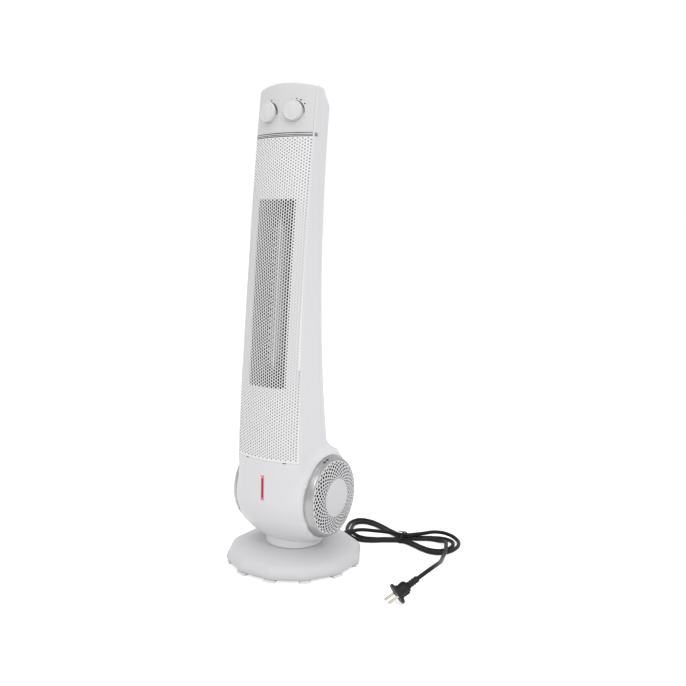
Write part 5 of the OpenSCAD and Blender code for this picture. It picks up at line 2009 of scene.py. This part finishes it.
@dataclass(frozen=True)
class SideIntake:
    """Air intake at one end of the drum: silver ring and perforated twist-off cover.

    Sections give the distance outside the cover's edge and the height over the drum's end.
    """

    side: Side
    body: Body
    form: TowerForm = TowerForm()
    cover_r: float = 60.0
    cap_r: float = 29.2
    depth: float = 11.2
    dome: float = 5.5
    dome_power: float = 1.7
    dome_sunk: float = 0.2
    rings: int = 8
    around: int = 32
    hole_in: float = 1.65
    hole_out: float = 2.35
    hole_sides: int = 12
    line_power: float = 1.05
    cap_gap: float = 1.0
    rim_gap: float = 1.3
    wall: float = 0.6
    cap_edge: Profile = ((0.0, -0.15), (-0.8, 0.05))
    cap_rings: tuple[float, ...] = (24.0, 16.0, 8.0)
    cap_rise: float = 0.35
    cap_curve: float = 30.0
    rim: Profile = ((-0.8, 0.05), (-0.3, -0.15), (0.0, -0.8), (0.0, -9.0))
    section: Profile = (
        (7.0, 0.2), (7.0, 0.9), (6.6, 1.6), (6.6, 2.1), (6.9, 2.5), (6.6, 3.3), (3.4, 9.4),
        (1.9, 11.1), (0.9, 11.2), (0.3, 10.6), (0.3, 5.4), (2.5, 5.4), (2.5, -1.5), (-6, -1.5),
        (-6, -3.5), (3.7, -3.5), (3.7, 0.2))
    joint: Profile = ((7.0, 0.1), (7.5, 0.1), (7.5, 0.6), (7.35, 0.8), (7.0, 0.8), (7.0, 0.1))
    slope: tuple[float, float] = (-3.2, 6.1)
    slope_foot: tuple[float, float] = (6.6, 3.3)
    slope_long: float = 6.9
    slope_out: tuple[float, float] = (0.89, 0.46)
    mark_angle: float = 15.0
    mark_off: tuple[float, float] = (-0.05, 0.08)
    mark_outlines: tuple[Profile, ...] = (
        ((-7.8, 0.0), (-3.6, 2.7), (-3.6, -2.7)), ((7.8, 0.0), (3.6, -2.7), (3.6, 2.7)),
        ((-3.6, -0.9), (3.6, -0.9), (3.6, 0.9), (-3.6, 0.9)))

    def place(self) -> Matrix:
        """Where the intake sits, its own Z pointing out of the drum.

        Returns:
            The transform, in millimetres.
        """
        turn = 0.0 if self.side is Side.RIGHT else math.pi
        end = (self.side.value * self.form.drum_half, 0, self.form.axis_z)
        return (Matrix.Translation(end) @ Matrix.Rotation(turn, 4, "Z")
                @ Matrix.Rotation(QUARTER, 4, "Y"))

    def _turned(self, section: Profile) -> Form:
        """Turned form in its place, from a section round the cover."""
        profile = [(self.cover_r + out, up) for out, up in section]
        return Form().lathe(profile, steps=144).moved(self.place())

    def ring(self) -> None:
        """Turned silver ring with a stepped foot and a bright lip, and its joint to the drum."""
        section = [*rounded(self.section, radius=0.5, steps=2), self.section[0]]
        Piece(f"intake_ring_{self.side.word}", self._turned(section), RING, Body.COLUMN,
              "ring_silver", (f"side_ring_{self.side.word}",), crease=34.0).make()
        Piece(f"intake_joint_{self.side.word}", self._turned(self.joint), RING, Body.COLUMN,
              "ring_silver").make()

    def _on_ring(self, shift: float, up: float, out: float) -> Point:
        """A point on the ring's sloping face.

        Args:
            shift: Distance round the ring from the mark's middle.
            up: Distance along the slope from its middle.
            out: Distance over the face.

        Returns:
            The point in the drum's own frame.
        """
        share = 0.5 + up / self.slope_long
        radius = self.cover_r + self.slope_foot[0] + self.slope[0] * share
        a = math.pi + self.side.value * math.radians(self.mark_angle) + shift / radius
        r = radius + self.slope_out[0] * out
        z = self.slope_foot[1] + self.slope[1] * share + self.slope_out[1] * out
        return (r * math.cos(a), r * math.sin(a), z)

    def mark(self) -> None:
        """Small printed mark on the ring: two arrowheads and a dash between them."""
        form = Form()
        for outline in self.mark_outlines:
            rows = [np.array([self._on_ring(x, y, out) for x, y in outline])
                    for out in self.mark_off]
            form.grid(rows, closed=True).fan(rows[1])
        Piece(f"twist_mark_{self.side.word}", form.moved(self.place()), INK, Body.COLUMN,
              "inner_black").make()

    def _height(self, r: np.ndarray) -> np.ndarray:
        """Height of the cover's dome at a radius."""
        share = np.clip((self.cover_r - r) / (self.cover_r - self.cap_r), 0, 1)
        return self.depth - self.dome_sunk + self.dome * (1 - (1 - share) ** self.dome_power)

    def _spot(self, r: float, a: float) -> Point:
        """A point of the cover's dome at a radius and an angle."""
        return (r * math.cos(a), r * math.sin(a), float(self._height(r)))

    def _edge(self, p: Sequence[float], q: Sequence[float]) -> list[Point]:
        """Start of a cell's side and two points along it.

        Args:
            p: Radius and angle of the start.
            q: Radius and angle of the end.

        Returns:
            The three points.
        """
        return [self._spot(p[0] + (q[0] - p[0]) * t / 3, p[1] + (q[1] - p[1]) * t / 3)
                for t in range(3)]

    def _lines(self) -> np.ndarray:
        """Radii of the rows of holes, with the cap's and the rim's edge."""
        low, high = self.cap_r + self.cap_gap, self.cover_r - self.rim_gap
        return low + (high - low) * np.linspace(0, 1, self.rings + 2) ** self.line_power

    def _lattice(self) -> Form:
        """Net of slanting cells between cap and rim, with a hole in each cell.

        Returns:
            The net, in the drum's own frame.
        """
        form, lines, half = Form(), self._lines(), math.pi / self.around
        sizes = np.linspace(self.hole_in, self.hole_out, self.rings)
        for j, size in enumerate(sizes, 1):
            for i in range(self.around):
                a = half * (2 * i + j % 2)
                corners = [(lines[j + 1], a), (lines[j], a - half), (lines[j - 1], a),
                           (lines[j], a + half)]
                border = [p for k in range(4)
                          for p in self._edge(corners[k], corners[(k + 1) % 4])]
                u, v = np.array([math.cos(a), math.sin(a)]), np.array([-math.sin(a), math.cos(a)])
                flat = [u * (lines[j] + size * math.cos(b)) - v * size * math.sin(b)
                        for b in circle(self.hole_sides)]
                hole = [(*q, float(self._height(np.hypot(*q)))) for q in flat]
                form.grid([np.array(border), np.array(hole)], closed=True)
        for near, far, phase in ((0, 1, 0), (self.rings + 1, self.rings, self.rings % 2)):
            for i in range(self.around):
                a = half * (2 * i + 1 + phase + (near > 0))
                tip = (lines[far], a)
                ends = [(lines[near], a - half), (lines[near], a + half)]
                form.fan(np.array([*self._edge(ends[0], tip), *self._edge(tip, ends[1]),
                                   self._spot(*ends[1]), self._spot(lines[near], a)]))
        return form

    def cover(self) -> None:
        """Domed cover: plain cap, net of holes that grow outward, and rim."""
        inner, outer = float(self._lines()[0]), float(self._lines()[-1])
        top, steps = self.depth + self.dome, self.around * 2
        rim = [(outer, float(self._height(outer))),
               *((self.cover_r + out, self.depth + up) for out, up in self.rim)]
        cap = [(inner, float(self._height(inner))),
               *((self.cap_r + out, top + up) for out, up in self.cap_edge)]
        cap += [(r, cap[-1][1] + self.cap_rise * (1 - (r / self.cap_curve) ** 2))
                for r in self.cap_rings]
        form = self._lattice().lathe(rim, steps).lathe(cap, steps).close(steps)
        Piece(f"intake_cover_{self.side.word}", form.moved(self.place()), COVER, self.body,
              "shell_white", (f"side_cover_{self.side.word}",), crease=34.0, weld=0.02,
              thickness=self.wall).make()

    def build(self) -> None:
        """Makes the ring, its mark and the cover."""
        self.ring()
        self.mark()
        self.cover()


@dataclass(frozen=True)
class IndicatorLens:
    """Upright red lens in the foot of the front."""

    form: TowerForm = TowerForm()
    low: float = 123.2
    high: float = 161.8
    wide: float = 5.8
    half_long: float = 19.0
    round_steps: int = 9
    core_steps: int = 12
    layers: Profile = ((0.0, -4.0), (0.0, 0.1), (-0.35, 0.45), (-1.0, 0.6))
    core: Profile = ((-1.9, 0.4), (-1.75, 0.78), (1.75, 0.78), (1.9, 0.4))
    core_end: float = 3.0

    def _laid(self, x: np.ndarray, z: np.ndarray, out: float) -> np.ndarray:
        """Points over the middle of the front, from places across and heights."""
        return np.column_stack([x, self.form.front(z) - self.form.crown - out, z])

    def build(self) -> None:
        """Makes the lens with its rounded ends, and its core."""
        turn, r = np.linspace(0, math.pi, self.round_steps), self.wide / 2
        x, z = r * np.cos(turn), r * np.sin(turn)
        middle = (self.low + self.high) / 2
        x, z = np.append(x, -x), np.append(self.high - r + z, self.low + r - z) - middle
        rows = [self._laid(x * (1 + grow / r), z * (1 + grow / self.half_long) + middle, out)
                for grow, out in self.layers]
        lens = Form().grid(rows, closed=True).fan(rows[-1])
        z = np.linspace(self.low + self.core_end, self.high - self.core_end, self.core_steps)
        core = Form().bar([self._laid(np.full(len(z), x), z, out) for x, out in self.core])
        for name, form, finish in (("indicator_bar", lens, LENS),
                                   ("indicator_core", core, LENS_CORE)):
            Piece(name, form, finish, Body.COLUMN, "lens_red", ("indicator_lens",)).make()


# Carried-over CAD pieces


@dataclass(frozen=True)
class InnerParts:
    """Finishes of the CAD nodes that stay in view as they are."""

    groups: tuple[tuple[Finish, tuple[str, ...]], ...] = (
        (BASE_WHITE, ("base_plate",)),
        (PAD_PAINTED_LIGHT, ("foot_pads",)),
        (WHITE, ("turntable",)),
        (NYLON, ("swivel_bush", "swivel_washer", "swing_pinion", "swing_gear", "terminal_block",
                 "tip_plunger", "rotary_switch")),
        (ZINC, ("base_screws", "turntable_screws", "shell_screws", "swing_motor",
                "retainer_ring", "fan_motor", "fan_shaft", "thermal_cutout", "thermostat",
                "thermostat_shaft", "switch_shaft")),
        (BLACK, ("tip_switch", "heater_frame")),
        (DUCT, ("scroll_left", "scroll_right", "impeller_left", "impeller_right", "air_duct")),
        (FOAM, ("filter_left", "filter_right")),
        (FIN, ("heater_fins",)),
        (CERAMIC, ("ceramic_strips",)),
        (BOARD, ("indicator_board",)),
    )

    def build(self) -> None:
        """Gives every carried-over node its material."""
        for finish, nodes in self.groups:
            for node in nodes:
                dress(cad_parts[node], finish)
                LOG.info("%s: %s", node, finish.name)


def main() -> None:
    """Builds the studio and every sub-assembly."""
    logging.basicConfig(level=logging.INFO, format="%(message)s")
    for part in (Studio(), MainsLead(), RoundBase(), TowerShells(), FrontGrille(), ControlPanel(),
                 # The last figure of each dial is the height of its painted shade crescent.
                 Dial(Side.LEFT, Body.THERMOSTAT, "thermostat_knob", painted_shade_high=3.4),
                 Dial(Side.RIGHT, Body.SWITCH, "switch_knob", painted_shade_high=1.8),
                 SideIntake(Side.LEFT, Body.COVER_LEFT), SideIntake(Side.RIGHT, Body.COVER_RIGHT),
                 IndicatorLens(), InnerParts()):
        part.build()


if __name__ == "__main__":
    main()
